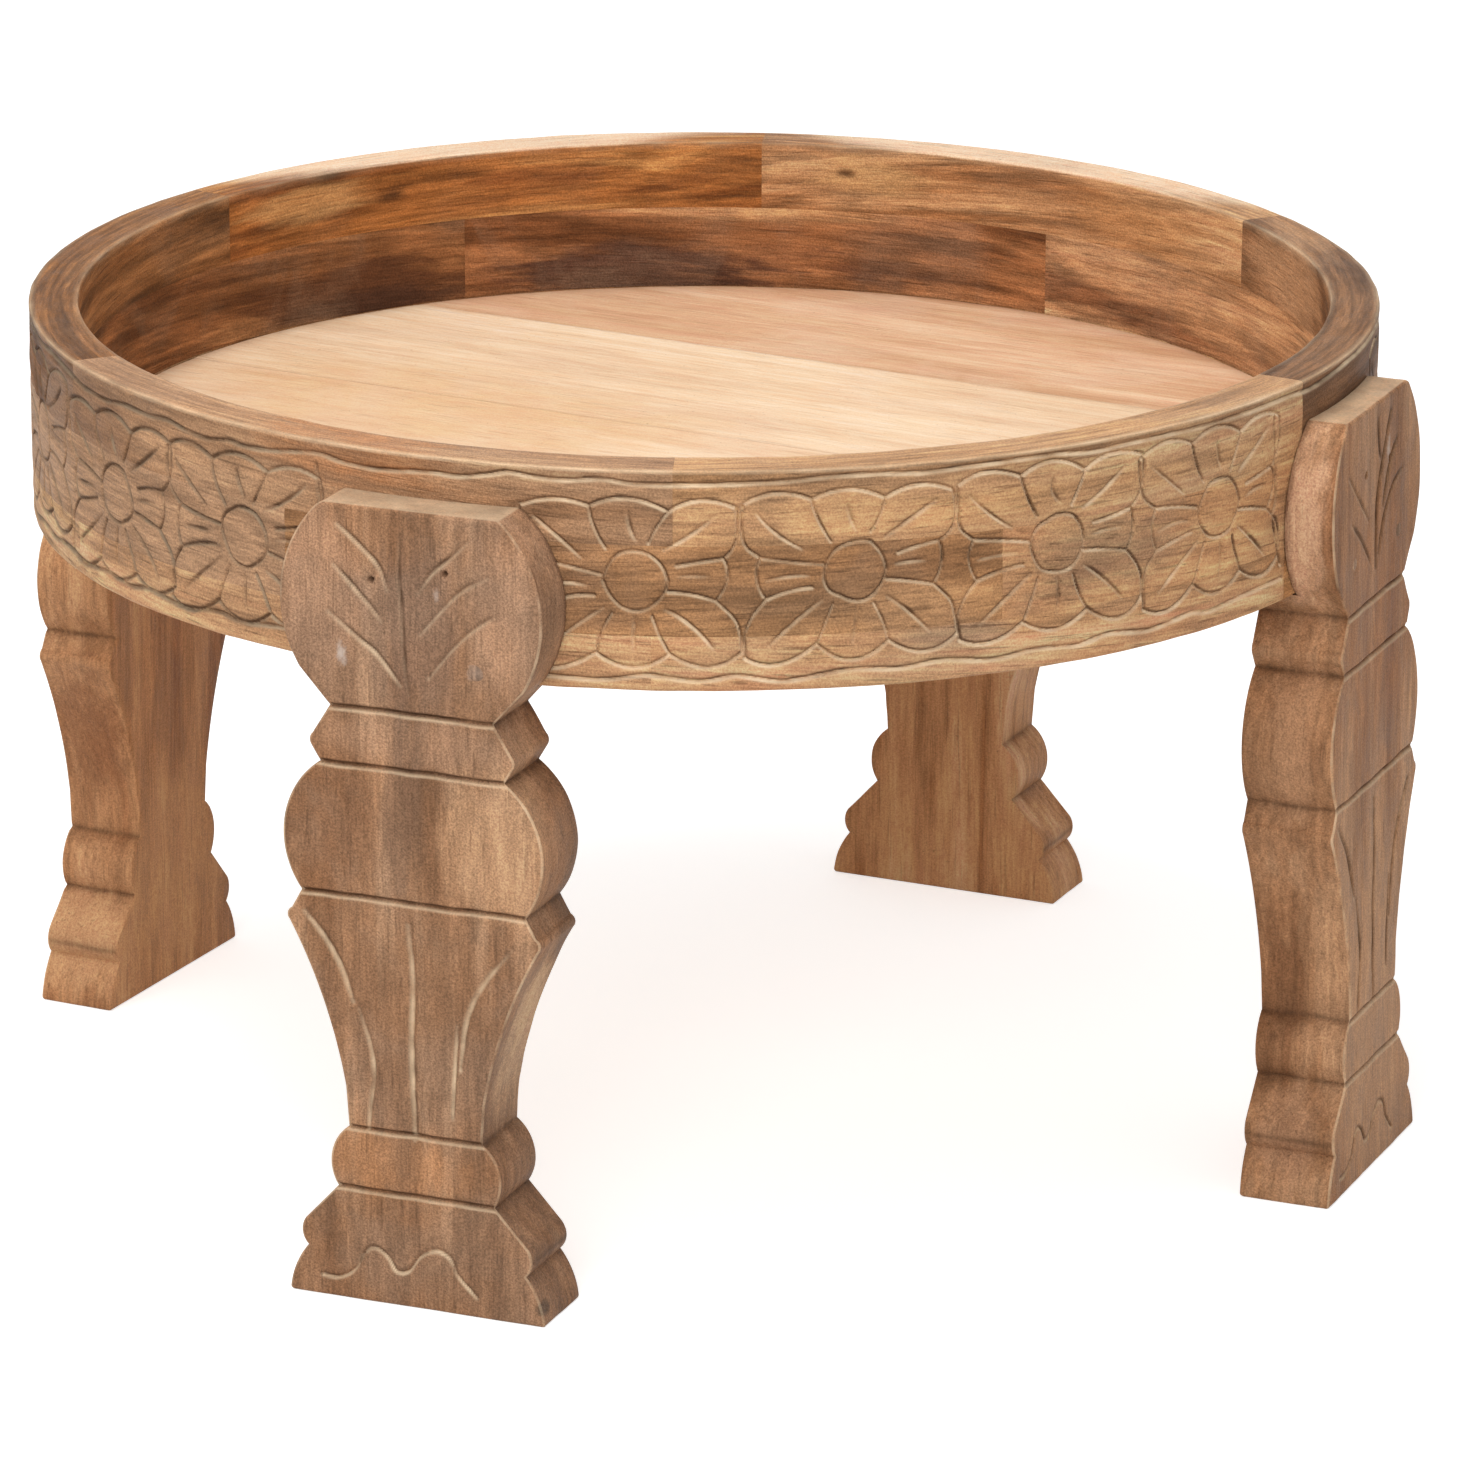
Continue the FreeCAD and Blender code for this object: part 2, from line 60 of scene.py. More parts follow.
Place = tuple[float, float, float]
Socket = bpy.types.NodeSocket


def linear(colour: Colour) -> tuple[float, float, float, float]:
    """Turn a display colour into the linear values of a shader socket.

    Args:
        colour: Red, green and blue from 0 to 255.

    Returns:
        Linear red, green and blue, and a full alpha.
    """
    parts = [value / 255.0 for value in colour]
    red, green, blue = (
        part / 12.92 if part <= 0.04045 else ((part + 0.055) / 1.055) ** 2.4 for part in parts
    )
    return red, green, blue, 1.0


def ripple(across: np.ndarray, along: np.ndarray, seed: int, size: float) -> np.ndarray:
    """Smooth uneven height between about -1 and 1, as hand tools leave it.

    Args:
        across: One coordinate of each point, in millimetres.
        along: The other coordinate.
        seed: Which unevenness.
        size: Length of the longest waves, in millimetres.

    Returns:
        The height at each point.
    """
    octaves, shrink, usual_peak = 6, 0.72, 3.2
    dice = np.random.default_rng(seed)
    height = np.zeros(np.broadcast(across, along).shape)
    for octave in range(octaves):
        turn, shift = dice.uniform(0.0, 2.0 * math.pi, 2)
        wave = 2.0 * math.pi / (size * shrink ** octave)
        height += np.sin(wave * (across * math.cos(turn) + along * math.sin(turn)) + shift)
    return height / usual_peak


def link(name: str, data: bpy.types.ID) -> bpy.types.Object:
    """Put a mesh, lamp or camera into the scene as an object."""
    thing = bpy.data.objects.new(name, data)
    bpy.context.scene.collection.objects.link(thing)
    return thing


class Grain(Enum):
    """Which way the grain of a piece runs."""

    AROUND = "along a curved block"
    UPRIGHT = "up a plank"
    LENGTHWISE = "along the boards"


@dataclass(frozen=True)
class Stain:
    """A soft patch of another colour, placed in the piece's own axes in metres."""

    centre: Place
    reach: Place
    colour: Colour
    strength: float = 0.8
    ragged: float = 0.45


@dataclass(frozen=True)
class WoodFinish:
    """One stick of waxed, antiqued mango wood."""

    dark: Colour = (118, 78, 48)
    middle: Colour = (164, 116, 76)
    pale: Colour = (194, 148, 104)
    grey: Colour = (152, 122, 98)
    grey_share: float = 0.35
    streaks: float = 0.22
    rings: float = 0.2
    clouds: float = 0.1
    grit: float = 0.24
    fibre: float = 0.16
    pores: float = 0.32
    roughness: float = 0.52
    # Colours of the pale mask (rubbed wax and painted highlight), of the dark mask (painted shade
    # and grime, also used for pores and specks) and of chalky filler.
    rub_and_highlight: Colour = (255, 226, 188)
    shade: Colour = (66, 43, 28)
    chalk: Colour = (206, 186, 172)
    stains: tuple[Stain, ...] = ()


@dataclass(frozen=True)
class SteelFinish:
    """Plain steel of a hidden screw or a darkened nail."""

    colour: Colour = (150, 148, 142)
    roughness: float = 0.42
    metallic: float = 1.0


def toned(dark: Colour, middle: Colour, pale: Colour, *patches: tuple[float, ...],
          **more: object) -> WoodFinish:
    """A stick of wood in three tones.

    Args:
        dark: Its darkest streaks.
        middle: Most of it.
        pale: Its palest streaks.
        patches: Stains, each as centre and reach in millimetres, colour, strength if it isn't
            the usual one, and raggedness likewise.
        more: Other values of the finish.

    Returns:
        The finish.
    """
    stains = tuple(
        Stain(tuple(value / 1000.0 for value in patch[:3]),
              tuple(value / 1000.0 for value in patch[3:6]), patch[6:9], *patch[9:])
        for patch in patches)
    return WoodFinish(dark, middle, pale, stains=stains, **more)


class Graph:
    """Short ways to add and join the nodes of one tree."""

    def __init__(self, tree: bpy.types.NodeTree) -> None:
        """Work on a tree from nothing."""
        self.tree = tree
        tree.nodes.clear()

    def add(self, kind: str, **values: object) -> bpy.types.Node:
        """Add a node and set plain properties on it."""
        node = self.tree.nodes.new(f"ShaderNode{kind}")
        for name, value in values.items():
            setattr(node, name, value)
        return node

    def feed(self, socket: Socket, value: object) -> None:
        """Link a socket to another, or write a plain value on it."""
        if isinstance(value, Socket):
            self.tree.links.new(value, socket)
        elif value is not None:
            socket.default_value = value

    def fill(self, node: bpy.types.Node, **values: object) -> bpy.types.Node:
        """Feed a node's inputs by name, where _ stands for a space."""
        for name, value in values.items():
            self.feed(node.inputs[name.replace("_", " ")], value)
        return node

    def math(self, kind: str, first: object, second: object = None,
             clamp: bool = False) -> Socket:
        """One step of arithmetic, as its output socket."""
        node = self.add("Math", operation=kind, use_clamp=clamp)
        self.feed(node.inputs[0], first)
        self.feed(node.inputs[1], second)
        return node.outputs[0]

    def times(self, first: object, second: object) -> Socket:
        """A product, as its output socket."""
        return self.math("MULTIPLY", first, second)

    def plus(self, first: object, second: object) -> Socket:
        """A sum, as its output socket."""
        return self.math("ADD", first, second)

    def less(self, first: object, second: object) -> Socket:
        """A difference, as its output socket."""
        return self.math("SUBTRACT", first, second)

    def vector(self, kind: str, first: object, second: object = None) -> Socket:
        """One step of vector arithmetic, as its output socket."""
        node = self.add("VectorMath", operation=kind)
        self.feed(node.inputs[0], first)
        self.feed(node.inputs[1], second)
        return node.outputs["Value" if kind == "LENGTH" else "Vector"]

    def noise(self, vector: object, scale: float, detail: float = 3.0, rough: float = 0.55,
              bend: float = 0.0) -> Socket:
        """Fractal noise from 0 to 1 at a vector, as its output socket."""
        return self.fill(self.add("TexNoise"), Vector=vector, Scale=scale, Detail=detail,
                         Roughness=rough, Distortion=bend).outputs["Fac"]

    def drawn(self, vector: object, across: float, along: float, *more: float) -> Socket:
        """Noise drawn out along the grain, by its scale across and along it."""
        return self.noise(self.vector("MULTIPLY", vector, (across, along, across)), 1.0, *more)

    def span(self, value: object, low: float, high: float, to_low: float = 0.0,
             to_high: float = 1.0) -> Socket:
        """A value eased from one range into another, as its output socket."""
        return self.fill(self.add("MapRange", interpolation_type="SMOOTHSTEP"), Value=value,
                         From_Min=low, From_Max=high, To_Min=to_low,
                         To_Max=to_high).outputs["Result"]

    def mix(self, share: object, first: object, second: object, blend: str = "MIX") -> Socket:
        """Two colours mixed by a share, as the output socket."""
        node = self.add("Mix", data_type="RGBA", blend_type=blend)
        for place, value in ((0, share), (6, first), (7, second)):
            self.feed(node.inputs[place], value)
        return node.outputs[2]

    def attribute(self, name: str) -> Socket:
        """A value painted on the mesh, as its output socket."""
        return self.add("Attribute", attribute_type="GEOMETRY", attribute_name=name).outputs["Fac"]

    def bump(self, shader: bpy.types.Node, height: Socket, strength: float,
             distance: float) -> None:
        """Raise a shader's surface by a height; the distance is in metres."""
        node = self.fill(self.add("Bump"), Height=height, Strength=strength, Distance=distance)
        self.feed(shader.inputs["Normal"], node.outputs["Normal"])

    def seen(self) -> Socket:
        """1 for what the eye sees, straight, in a shine or through glass, as a socket."""
        rays = self.add("LightPath").outputs
        near = self.math("ADD", rays["Is Camera Ray"], rays["Is Glossy Ray"], True)
        return self.math("ADD", near, rays["Is Transmission Ray"], True)


class WoodGroups:
    """The shader effects that every wooden material shares, each built once."""

    def __init__(self) -> None:
        """Build the node groups."""
        self.figure = self._figure()
        self.patina = self._patina()
        self.stain = self._stain()
        self.patchy_marks = self._patchy_marks()

    @staticmethod
    def _new(name: str, vectors: str, floats: str,
             outputs: str) -> tuple[Graph, object, object]:
        """An empty group with its sockets.

        Args:
            name: Name of the group.
            vectors: Names of its vector inputs.
            floats: Names of its plain inputs.
            outputs: Names of its outputs.

        Returns:
            The graph, what the inputs give and what the outputs take.
        """
        graph = Graph(bpy.data.node_groups.new(name, "ShaderNodeTree"))
        for labels, side, kind in ((vectors, "INPUT", "Vector"), (floats, "INPUT", "Float"),
                                   (outputs, "OUTPUT", "Float")):
            for label in labels.split():
                graph.tree.interface.new_socket(label, in_out=side,
                                                socket_type=f"NodeSocket{kind}")
        start = graph.tree.nodes.new("NodeGroupInput")
        return graph, start.outputs, graph.tree.nodes.new("NodeGroupOutput").inputs

    def _figure(self) -> bpy.types.NodeTree:
        """Figure, rings, streaks, fibres and pores of wood whose grain runs along y."""
        graph, start, end = self._new("Wood Figure", "Vector", "",
                                      "Figure Rings Streaks Fibre Pores")
        vector = start["Vector"]
        broad = graph.span(graph.drawn(vector, 22.0, 2.6, 3.0, 0.5, 1.2), 0.3, 0.7)
        bands = graph.span(graph.drawn(vector, 70.0, 3.2, 4.0, 0.55, 0.7), 0.33, 0.67)
        graph.feed(end["Figure"], graph.plus(graph.times(broad, 0.6), graph.times(bands, 0.4)))
        rings = graph.add("TexWave", wave_type="BANDS", bands_direction="X")
        graph.fill(rings, Vector=graph.vector("MULTIPLY", vector, (1.0, 0.09, 1.0)), Scale=55.0,
                   Distortion=15.0, Detail=3.0, Detail_Scale=0.8, Detail_Roughness=0.6)
        graph.feed(end["Rings"], rings.outputs["Fac"])
        for name, noise, low, high in (
                ("Streaks", (330.0, 14.0, 4.0, 0.6, 0.3), 0.3, 0.7),
                ("Fibre", (900.0, 60.0, 2.0, 0.6), 0.3, 0.7),
                ("Pores", (720.0, 26.0, 2.0, 0.5), 0.6, 0.72)):
            graph.feed(end[name], graph.span(graph.drawn(vector, *noise), low, high))
        return graph.tree

    def _patina(self) -> bpy.types.NodeTree:
        """Grey wash, grime in soft clouds and fine dark specks."""
        graph, start, end = self._new("Patina", "Vector", "", "Wash Clouds Grit Specks")
        vector = start["Vector"]
        for name, noise, low, high in (
                ("Wash", graph.noise(vector, 14.0, 4.0, 0.6, 0.7), 0.42, 0.68),
                ("Clouds", graph.drawn(vector, 62.0, 22.0, 6.0, 0.66, 0.5), 0.3, 0.7),
                ("Grit", graph.noise(vector, 1050.0, 2.0, 0.7), 0.28, 0.72),
                ("Specks", graph.noise(vector, 420.0, 3.0, 0.65, 0.3), 0.66, 0.74)):
            graph.feed(end[name], graph.span(noise, low, high))
        return graph.tree

    def _stain(self) -> bpy.types.NodeTree:
        """Mask of one soft, ragged patch."""
        graph, start, end = self._new("Stain Patch", "Vector Grain Centre Reach", "Ragged",
                                      "Mask")
        offset = graph.vector("SUBTRACT", start["Vector"], start["Centre"])
        away = graph.vector("LENGTH", graph.vector("DIVIDE", offset, start["Reach"]))
        noise = graph.drawn(start["Grain"], 120.0, 22.0, 5.0, 0.6, 0.4)
        push = graph.times(graph.less(noise, 0.5), graph.times(start["Ragged"], 3.0))
        graph.feed(end["Mask"], graph.span(graph.plus(away, push), 0.45, 1.1, 1.0, 0.0))
        return graph.tree

    def _patchy_marks(self) -> bpy.types.NodeTree:
        """Breaks up a painted mask into patches, so that it looks handled: the pale mask of rubbed
        wood and painted highlight, and the dark mask of painted shade and grime.
        """
        graph, start, end = self._new("Patchy Marks", "Vector", "Mask Patchiness", "Mask")
        gaps = graph.span(graph.noise(start["Vector"], 75.0, 4.0, 0.6, 0.3), 0.36, 0.62)
        kept = graph.less(1.0, graph.times(start["Patchiness"], graph.less(1.0, gaps)))
        graph.feed(end["Mask"], graph.math("MULTIPLY", start["Mask"], kept, True))
        return graph.tree


class MaterialShop:
    """Makes the materials of the table from its finishes."""

    WALL_MIDDLE = 0.3125
    ROUND_SHARE = 0.86

    def __init__(self) -> None:
        """Build the shared groups first."""
        self.groups = WoodGroups()

    @staticmethod
    def _start(name: str) -> tuple[Graph, bpy.types.Node, bpy.types.Material, Socket]:
        """A new material with its shader and output.

        Args:
            name: Name of the material.

        Returns:
            The graph, the shader, the material and the place on the table.
        """
        material = bpy.data.materials.new(name)
        material.use_nodes = True
        graph = Graph(material.node_tree)
        shader = graph.add("BsdfPrincipled")
        graph.fill(graph.add("OutputMaterial"), Surface=shader.outputs[0])
        return graph, shader, material, graph.add("TexCoord").outputs["Object"]

    @staticmethod
    def _group(graph: Graph, tree: bpy.types.NodeTree, **values: object) -> object:
        """Place a shared group, feed its inputs by name and give its outputs."""
        return graph.fill(graph.add("Group", node_tree=tree), **values).outputs

    def _bent(self, graph: Graph, own: Socket) -> Socket:
        """A block's axes bent round the rim, so that the figure follows the sawn curve.

        Args:
            graph: The material's graph.
            own: Place in the block's own axes, x out from the middle of the table.

        Returns:
            Place out from the axis, along the curve and up.
        """
        split = graph.add("SeparateXYZ")
        graph.feed(split.inputs[0], own)
        out, over, up = split.outputs
        squares = graph.plus(graph.times(out, out), graph.times(over, over))
        reach = graph.plus(graph.times(graph.math("SQRT", squares), self.ROUND_SHARE),
                           graph.times(out, 1.0 - self.ROUND_SHARE))
        along = graph.times(graph.math("ARCTAN2", over, out), self.WALL_MIDDLE)
        return graph.fill(graph.add("CombineXYZ"), X=reach, Y=along, Z=up).outputs[0]

    def _laid(self, graph: Graph, place: Socket, grain: Grain, turn: float,
              seed: int) -> tuple[Socket, Socket]:
        """Lay a piece in the log that it was sawn from.

        Args:
            graph: The material's graph.
            place: Place on the table.
            grain: Which way the grain runs.
            turn: Angle of the piece about the table's axis, in degrees.
            seed: Which part of the log the piece comes from.

        Returns:
            Place in the piece's own axes, and place in the log, whose grain runs along y.
        """
        own = graph.fill(graph.add("Mapping"), Vector=place,
                         Rotation=(0.0, 0.0, -math.radians(turn))).outputs["Vector"]
        dice = np.random.default_rng(seed + 100)
        start = tuple(dice.uniform(-4.0, 4.0, 3))
        tilt, lean, sway = (float(dice.uniform(-most, most)) for most in (4.0, 3.0, 1.5))
        tilt = {Grain.AROUND: tilt, Grain.UPRIGHT: 90.0, Grain.LENGTHWISE: 0.0}[grain]
        quarter = math.radians(90.0) if grain is Grain.LENGTHWISE else 0.0
        laid = self._bent(graph, own) if grain is Grain.AROUND else own
        log = graph.fill(graph.add("Mapping"), Vector=laid, Location=start, Rotation=(
            math.radians(tilt), math.radians(lean), math.radians(sway) + quarter))
        return own, log.outputs["Vector"]

    def wood(self, name: str, finish: WoodFinish, grain: Grain, turn: float = 0.0,
             seed: int = 0) -> bpy.types.Material:
        """One stick of wood, with its grain laid along the piece.

        Args:
            name: Name of the material.
            finish: Its colours and how much of each effect it has.
            grain: Which way its grain runs.
            turn: Angle of the piece about the table's axis, in degrees.
            seed: Which part of the log the figure comes from.

        Returns:
            The material.
        """
        graph, shader, material, place = self._start(name)
        own, vector = self._laid(graph, place, grain, turn, seed)
        figure = self._group(graph, self.groups.figure, Vector=vector)
        patina = self._group(graph, self.groups.patina, Vector=vector)
        colour = graph.mix(graph.span(figure["Figure"], 0.1, 0.52), linear(finish.dark),
                           linear(finish.middle))
        colour = graph.mix(graph.span(figure["Figure"], 0.5, 0.9), colour, linear(finish.pale))
        for share, effect in ((finish.rings, figure["Rings"]),
                              (finish.streaks, figure["Streaks"])):
            colour = graph.mix(share, colour, effect, "OVERLAY")
        for stain in finish.stains:
            patch = self._group(graph, self.groups.stain, Vector=own, Grain=vector,
                                Centre=stain.centre, Reach=stain.reach, Ragged=stain.ragged)
            mask = graph.times(patch["Mask"], stain.strength)
            colour = graph.mix(mask, colour, linear(stain.colour))
        wash = graph.times(patina["Wash"], finish.grey_share)
        colour = graph.mix(wash, colour, linear(finish.grey))
        for share, effect in ((finish.clouds, patina["Clouds"]), (finish.fibre, figure["Fibre"]),
                              (finish.grit, patina["Grit"])):
            colour = graph.mix(share, colour, effect, "OVERLAY")
        for effect, share in ((figure["Pores"], finish.pores), (patina["Specks"], 0.4)):
            colour = graph.mix(graph.times(effect, share), colour, linear(finish.shade))
        # The dark mask (painted shade and grime) and the pale mask (rubbed wax and painted
        # highlight), broken into patches and laid over the wood's colour.
        for mask, tone, patchiness in (("shade", finish.shade, 0.3), ("rub_and_highlight", finish.rub_and_highlight, 0.25)):
            broken_up = self._group(graph, self.groups.patchy_marks, Vector=vector,
                               Mask=graph.attribute(mask), Patchiness=patchiness)
            colour = graph.mix(broken_up["Mask"], colour, linear(tone))
        colour = graph.mix(graph.attribute("chalk"), colour, linear(finish.chalk))
        gloss = graph.plus(graph.times(patina["Clouds"], 0.16), finish.roughness - 0.06)
        graph.fill(shader, Base_Color=colour, Roughness=gloss, Specular_IOR_Level=0.08)
        relief = graph.less(graph.times(figure["Fibre"], 0.6), figure["Pores"])
        relief = graph.plus(relief, graph.times(patina["Clouds"], 1.6))
        relief = graph.plus(relief, graph.times(patina["Grit"], 3.2 * finish.grit))
        graph.bump(shader, relief, 0.6, 0.0004)
        return material

    def steel(self, name: str, finish: SteelFinish) -> bpy.types.Material:
        """Plain drawn steel with fine spots.

        Args:
            name: Name of the material.
            finish: Its colour, roughness and how metallic it is.

        Returns:
            The material.
        """
        graph, shader, material, place = self._start(name)
        spots = graph.span(graph.noise(place, 700.0, 3.0, 0.6), 0.3, 0.7)
        dull = tuple(part * 0.6 for part in finish.colour)
        graph.fill(shader, Base_Color=graph.mix(spots, linear(finish.colour), linear(dull)),
                   Roughness=graph.plus(graph.times(spots, 0.2), finish.roughness),
                   Metallic=finish.metallic)
        graph.bump(shader, spots, 0.3, 0.0001)
        return material


@dataclass(frozen=True)
class Stroke:
    """One cut of a gouge or a chisel through two, three or more points."""

    points: tuple[Point, ...]
    width: float = 1.5
    depth: float = 1.2
    tapered: bool = False
    # Dark laid into the cut whatever the light: grime, and painted shade deep in the cut.
    dirt_and_shade: float = 0.0
    # How strong the painted highlight on the cut's lit flank is.
    bright: float = 0.75

    def path(self) -> np.ndarray:
        """The cut's line as close points: straight, one bow, or a curve through them all."""
        corners = np.array(self.points, dtype=float)
        if len(corners) == 2:
            return corners
        if len(corners) == 3:
            share = np.linspace(0.0, 1.0, 9)[:, None]
            control = 2.0 * corners[1] - (corners[0] + corners[2]) / 2.0
            return ((1.0 - share) ** 2 * corners[0] + 2.0 * share * (1.0 - share) * control
                    + share ** 2 * corners[2])
        knots = np.vstack([2.0 * corners[0] - corners[1], corners,
                           2.0 * corners[-1] - corners[-2]])
        share = np.linspace(0.0, 1.0, 6, endpoint=False)[:, None]
        runs = [0.5 * (2.0 * start + (end - first) * share
                       + (2.0 * first - 5.0 * start + 4.0 * end - last) * share ** 2
                       + (3.0 * start - first - 3.0 * end + last) * share ** 3)
                for first, start, end, last in zip(knots, knots[1:], knots[2:], knots[3:])]
        return np.vstack(runs + [corners[-1:]])

    def moved(self, across: float, up: float) -> "Stroke":
        """The same cut in another place."""
        return replace(self, points=tuple((x + across, z + up) for x, z in self.points))


@dataclass
class Relief:
    """What carving does to a grid of points: how deep, how pale from rubbing and painted
    highlight, how dark from painted shade and grime.
    """

    sink: np.ndarray
    rub_and_highlight: np.ndarray
    shade: np.ndarray


class CarvedPanel:
    """A face with cuts in it, laid out in millimetres."""

    REACH = 9.0
    PILLOW_FALL = 3.4
    FLANK = 0.38
    LEAST_STEP = 0.2

    def __init__(self, strokes: list[Stroke]) -> None:
        """Keep each cut with its line and the box that it can touch."""
        self.cuts = []
        for stroke in strokes:
            path = stroke.path()
            self.cuts.append((stroke, path, path.min(0) - self.REACH, path.max(0) + self.REACH))

    @staticmethod
    def _window(inside: np.ndarray) -> slice:
        """The shortest run of a row or column that holds every true value."""
        found = np.flatnonzero(inside)
        return slice(int(found[0]), int(found[-1]) + 1) if len(found) else slice(0, 0)

    def relief(self, across: np.ndarray, up: np.ndarray, pillow: float, seed: int) -> Relief:
        """Carve a grid whose rows run up the face.

        Args:
            across: Place of each point across the face.
            up: Place of each point up the face.
            pillow: How far the wood falls away softly towards each cut.
            seed: Which unevenness of the hand.

        Returns:
            Depth in millimetres, the mask of rubbed wood and painted highlight, and the mask of
            painted shade and grime.
        """
        sink, soft, dirt_and_shade = (np.zeros(across.shape) for _ in range(3))
        bright = np.full(across.shape, 0.7)
        for stroke, path, low, high in self.cuts:
            rows = self._window((up[:, 0] >= low[1]) & (up[:, 0] <= high[1]))
            near = across[rows]
            if near.shape[0] == 0:
                continue
            columns = self._window(((near >= low[0]) & (near <= high[0])).any(0))
            near = near[:, columns]
            if near.size == 0:
                continue
            here = (rows, columns)
            gap, share = self._distance(near, up[here], path)
            cut = stroke.depth * np.exp(-(gap / (stroke.width * self.FLANK)) ** 2)
            if stroke.tapered:
                cut = cut * np.sqrt(np.clip(np.sin(math.pi * np.clip(share, 0.03, 0.97)), 0, 1))
            bright[here] = np.where(cut > sink[here] + 0.02, stroke.bright, bright[here])
            sink[here] = np.maximum(sink[here], cut)
            dirt_and_shade[here] = np.maximum(dirt_and_shade[here], stroke.dirt_and_shade * np.sqrt(cut / stroke.depth))
            soft[here] = np.maximum(soft[here], np.exp(-gap / self.PILLOW_FALL))
        sink = sink * (1.0 + 0.28 * ripple(across, up, seed, 37.0))
        patchy = 0.85 + 0.3 * ripple(across, up, seed + 1, 95.0)
        moody = np.clip(0.5 + 0.75 * ripple(across, up, seed + 2, 70.0), 0.0, 1.0)
        rise, lean = (
            np.gradient(sink, axis=axis)
            / np.maximum(np.abs(np.gradient(place, axis=axis)), self.LEAST_STEP)
            for axis, place in enumerate((up, across)))
        # Slope of the cuts towards a light from above and a little to the right: flanks that face
        # it are painted pale as a highlight, flanks that face away are painted dark as shade, and
        # the floor of each cut gets some of both.
        slope = 0.94 * rise + 0.34 * lean
        rub_and_highlight = (1.1 * slope + 0.34 * sink) * bright * (1.15 - 0.35 * moody) * patchy
        rub_and_highlight = rub_and_highlight * np.clip(1.0 - 1.8 * dirt_and_shade, 0.0, 1.0)
        shade = (0.2 * sink - 0.95 * slope) * (0.5 + 0.75 * moody) * (1.6 - 0.7 * bright)
        # Painted shade: a soft darkening round every cut, standing in for the shade beside it.
        shade = np.maximum(shade + dirt_and_shade, 0.0) + 0.15 * soft ** 1.5 * moody
        return Relief(sink + pillow * soft, np.clip(rub_and_highlight, 0.0, 1.0), np.clip(shade, 0.0, 0.85))

    @staticmethod
    def _distance(across: np.ndarray, up: np.ndarray,
                  path: np.ndarray) -> tuple[np.ndarray, np.ndarray]:
        """Measure points against a line.

        Args:
            across: Place of each point across the face.
            up: Place of each point up the face.
            path: The line's close points.

        Returns:
            Distance of each point from the line, and how far along it lies from 0 to 1.
        """
        point = np.stack([across, up], -1)[..., None, :]
        start = path[:-1]
        step = path[1:] - start
        along = ((point - start) * step).sum(-1) / np.maximum((step * step).sum(-1), 1e-9)
        along = np.clip(along, 0.0, 1.0)
        gap = np.linalg.norm(point - (start + along[..., None] * step), axis=-1)
        nearest = gap.argmin(-1)[..., None]
        share = (nearest + np.take_along_axis(along, nearest, -1)) / len(start)
        return np.take_along_axis(gap, nearest, -1)[..., 0], share[..., 0]


def loft(name: str, rings: np.ndarray, masks: dict[str, np.ndarray]) -> bpy.types.Object:
    """A closed piece from rings of points, capped at both ends.

    Args:
        name: Name of the piece.
        rings: Points of each ring in metres, as an array of ring, place in ring and axis.
        masks: Values painted on the points, by name, as arrays of ring and place in ring;
            a mask that isn't given stays 0.

    Returns:
        The object, linked into the scene.
    """
    crease = math.radians(62.0)
    count, size = rings.shape[:2]
    index = np.arange(count * size).reshape(count, size)
    following = np.roll(index, -1, 1)
    quads = np.stack([index[:-1], following[:-1], following[1:], index[1:]], -1).reshape(-1, 4)
    points = rings.reshape(-1, 3)
    corner = points[quads] - points.mean(0)
    volume = np.einsum("ij,ij->i", corner[:, 0], np.cross(corner[:, 1], corner[:, 2])).sum()
    first, last = index[0, ::-1], index[-1]
    if volume < 0.0:
        quads, first, last = quads[:, ::-1], first[::-1], last[::-1]
    corners = np.concatenate([quads.ravel(), first, last])
    starts = np.concatenate([np.arange(len(quads)) * 4, [quads.size, quads.size + size]])
    mesh = bpy.data.meshes.new(name)
    mesh.vertices.add(len(points))
    mesh.vertices.foreach_set("co", points.astype(np.float32).ravel())
    mesh.loops.add(len(corners))
    mesh.loops.foreach_set("vertex_index", corners.astype(np.int32))
    mesh.polygons.add(len(starts))
    mesh.polygons.foreach_set("loop_start", starts.astype(np.int32))
    mesh.update(calc_edges=True)
    mesh.shade_smooth()
    mesh.set_sharp_from_angle(angle=crease)
    for label in MASKS:
        layer = mesh.attributes.new(label, "FLOAT", "POINT")
        if label in masks:
            layer.data.foreach_set("value", masks[label].astype(np.float32).ravel())
    return link(name, mesh)


def turned(out: np.ndarray, over: np.ndarray, up: np.ndarray, angle: np.ndarray) -> np.ndarray:
    """Turn places about the table's axis.

    Args:
        out: Distance out from the axis, in millimetres.
        over: Distance across, to the viewer's right.
        up: Height.
        angle: Angle about the axis, in radians.

    Returns:
        The points in metres.
    """
    return np.stack([out * np.cos(angle) - over * np.sin(angle),
                     out * np.sin(angle) + over * np.cos(angle), up], -1) * MM


def settle(piece: bpy.types.Object, material: bpy.types.Material, node: str) -> None:
    """Dress a piece and put it in the frame in place of its solid.

    Args:
        piece: The finished piece.
        material: What it is made of.
        node: The solid that it stands for.
    """
    piece.data.materials.append(material)
    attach(piece, "root")
    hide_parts(node)
    LOG.info("%s: %d faces", piece.name, len(piece.data.polygons))


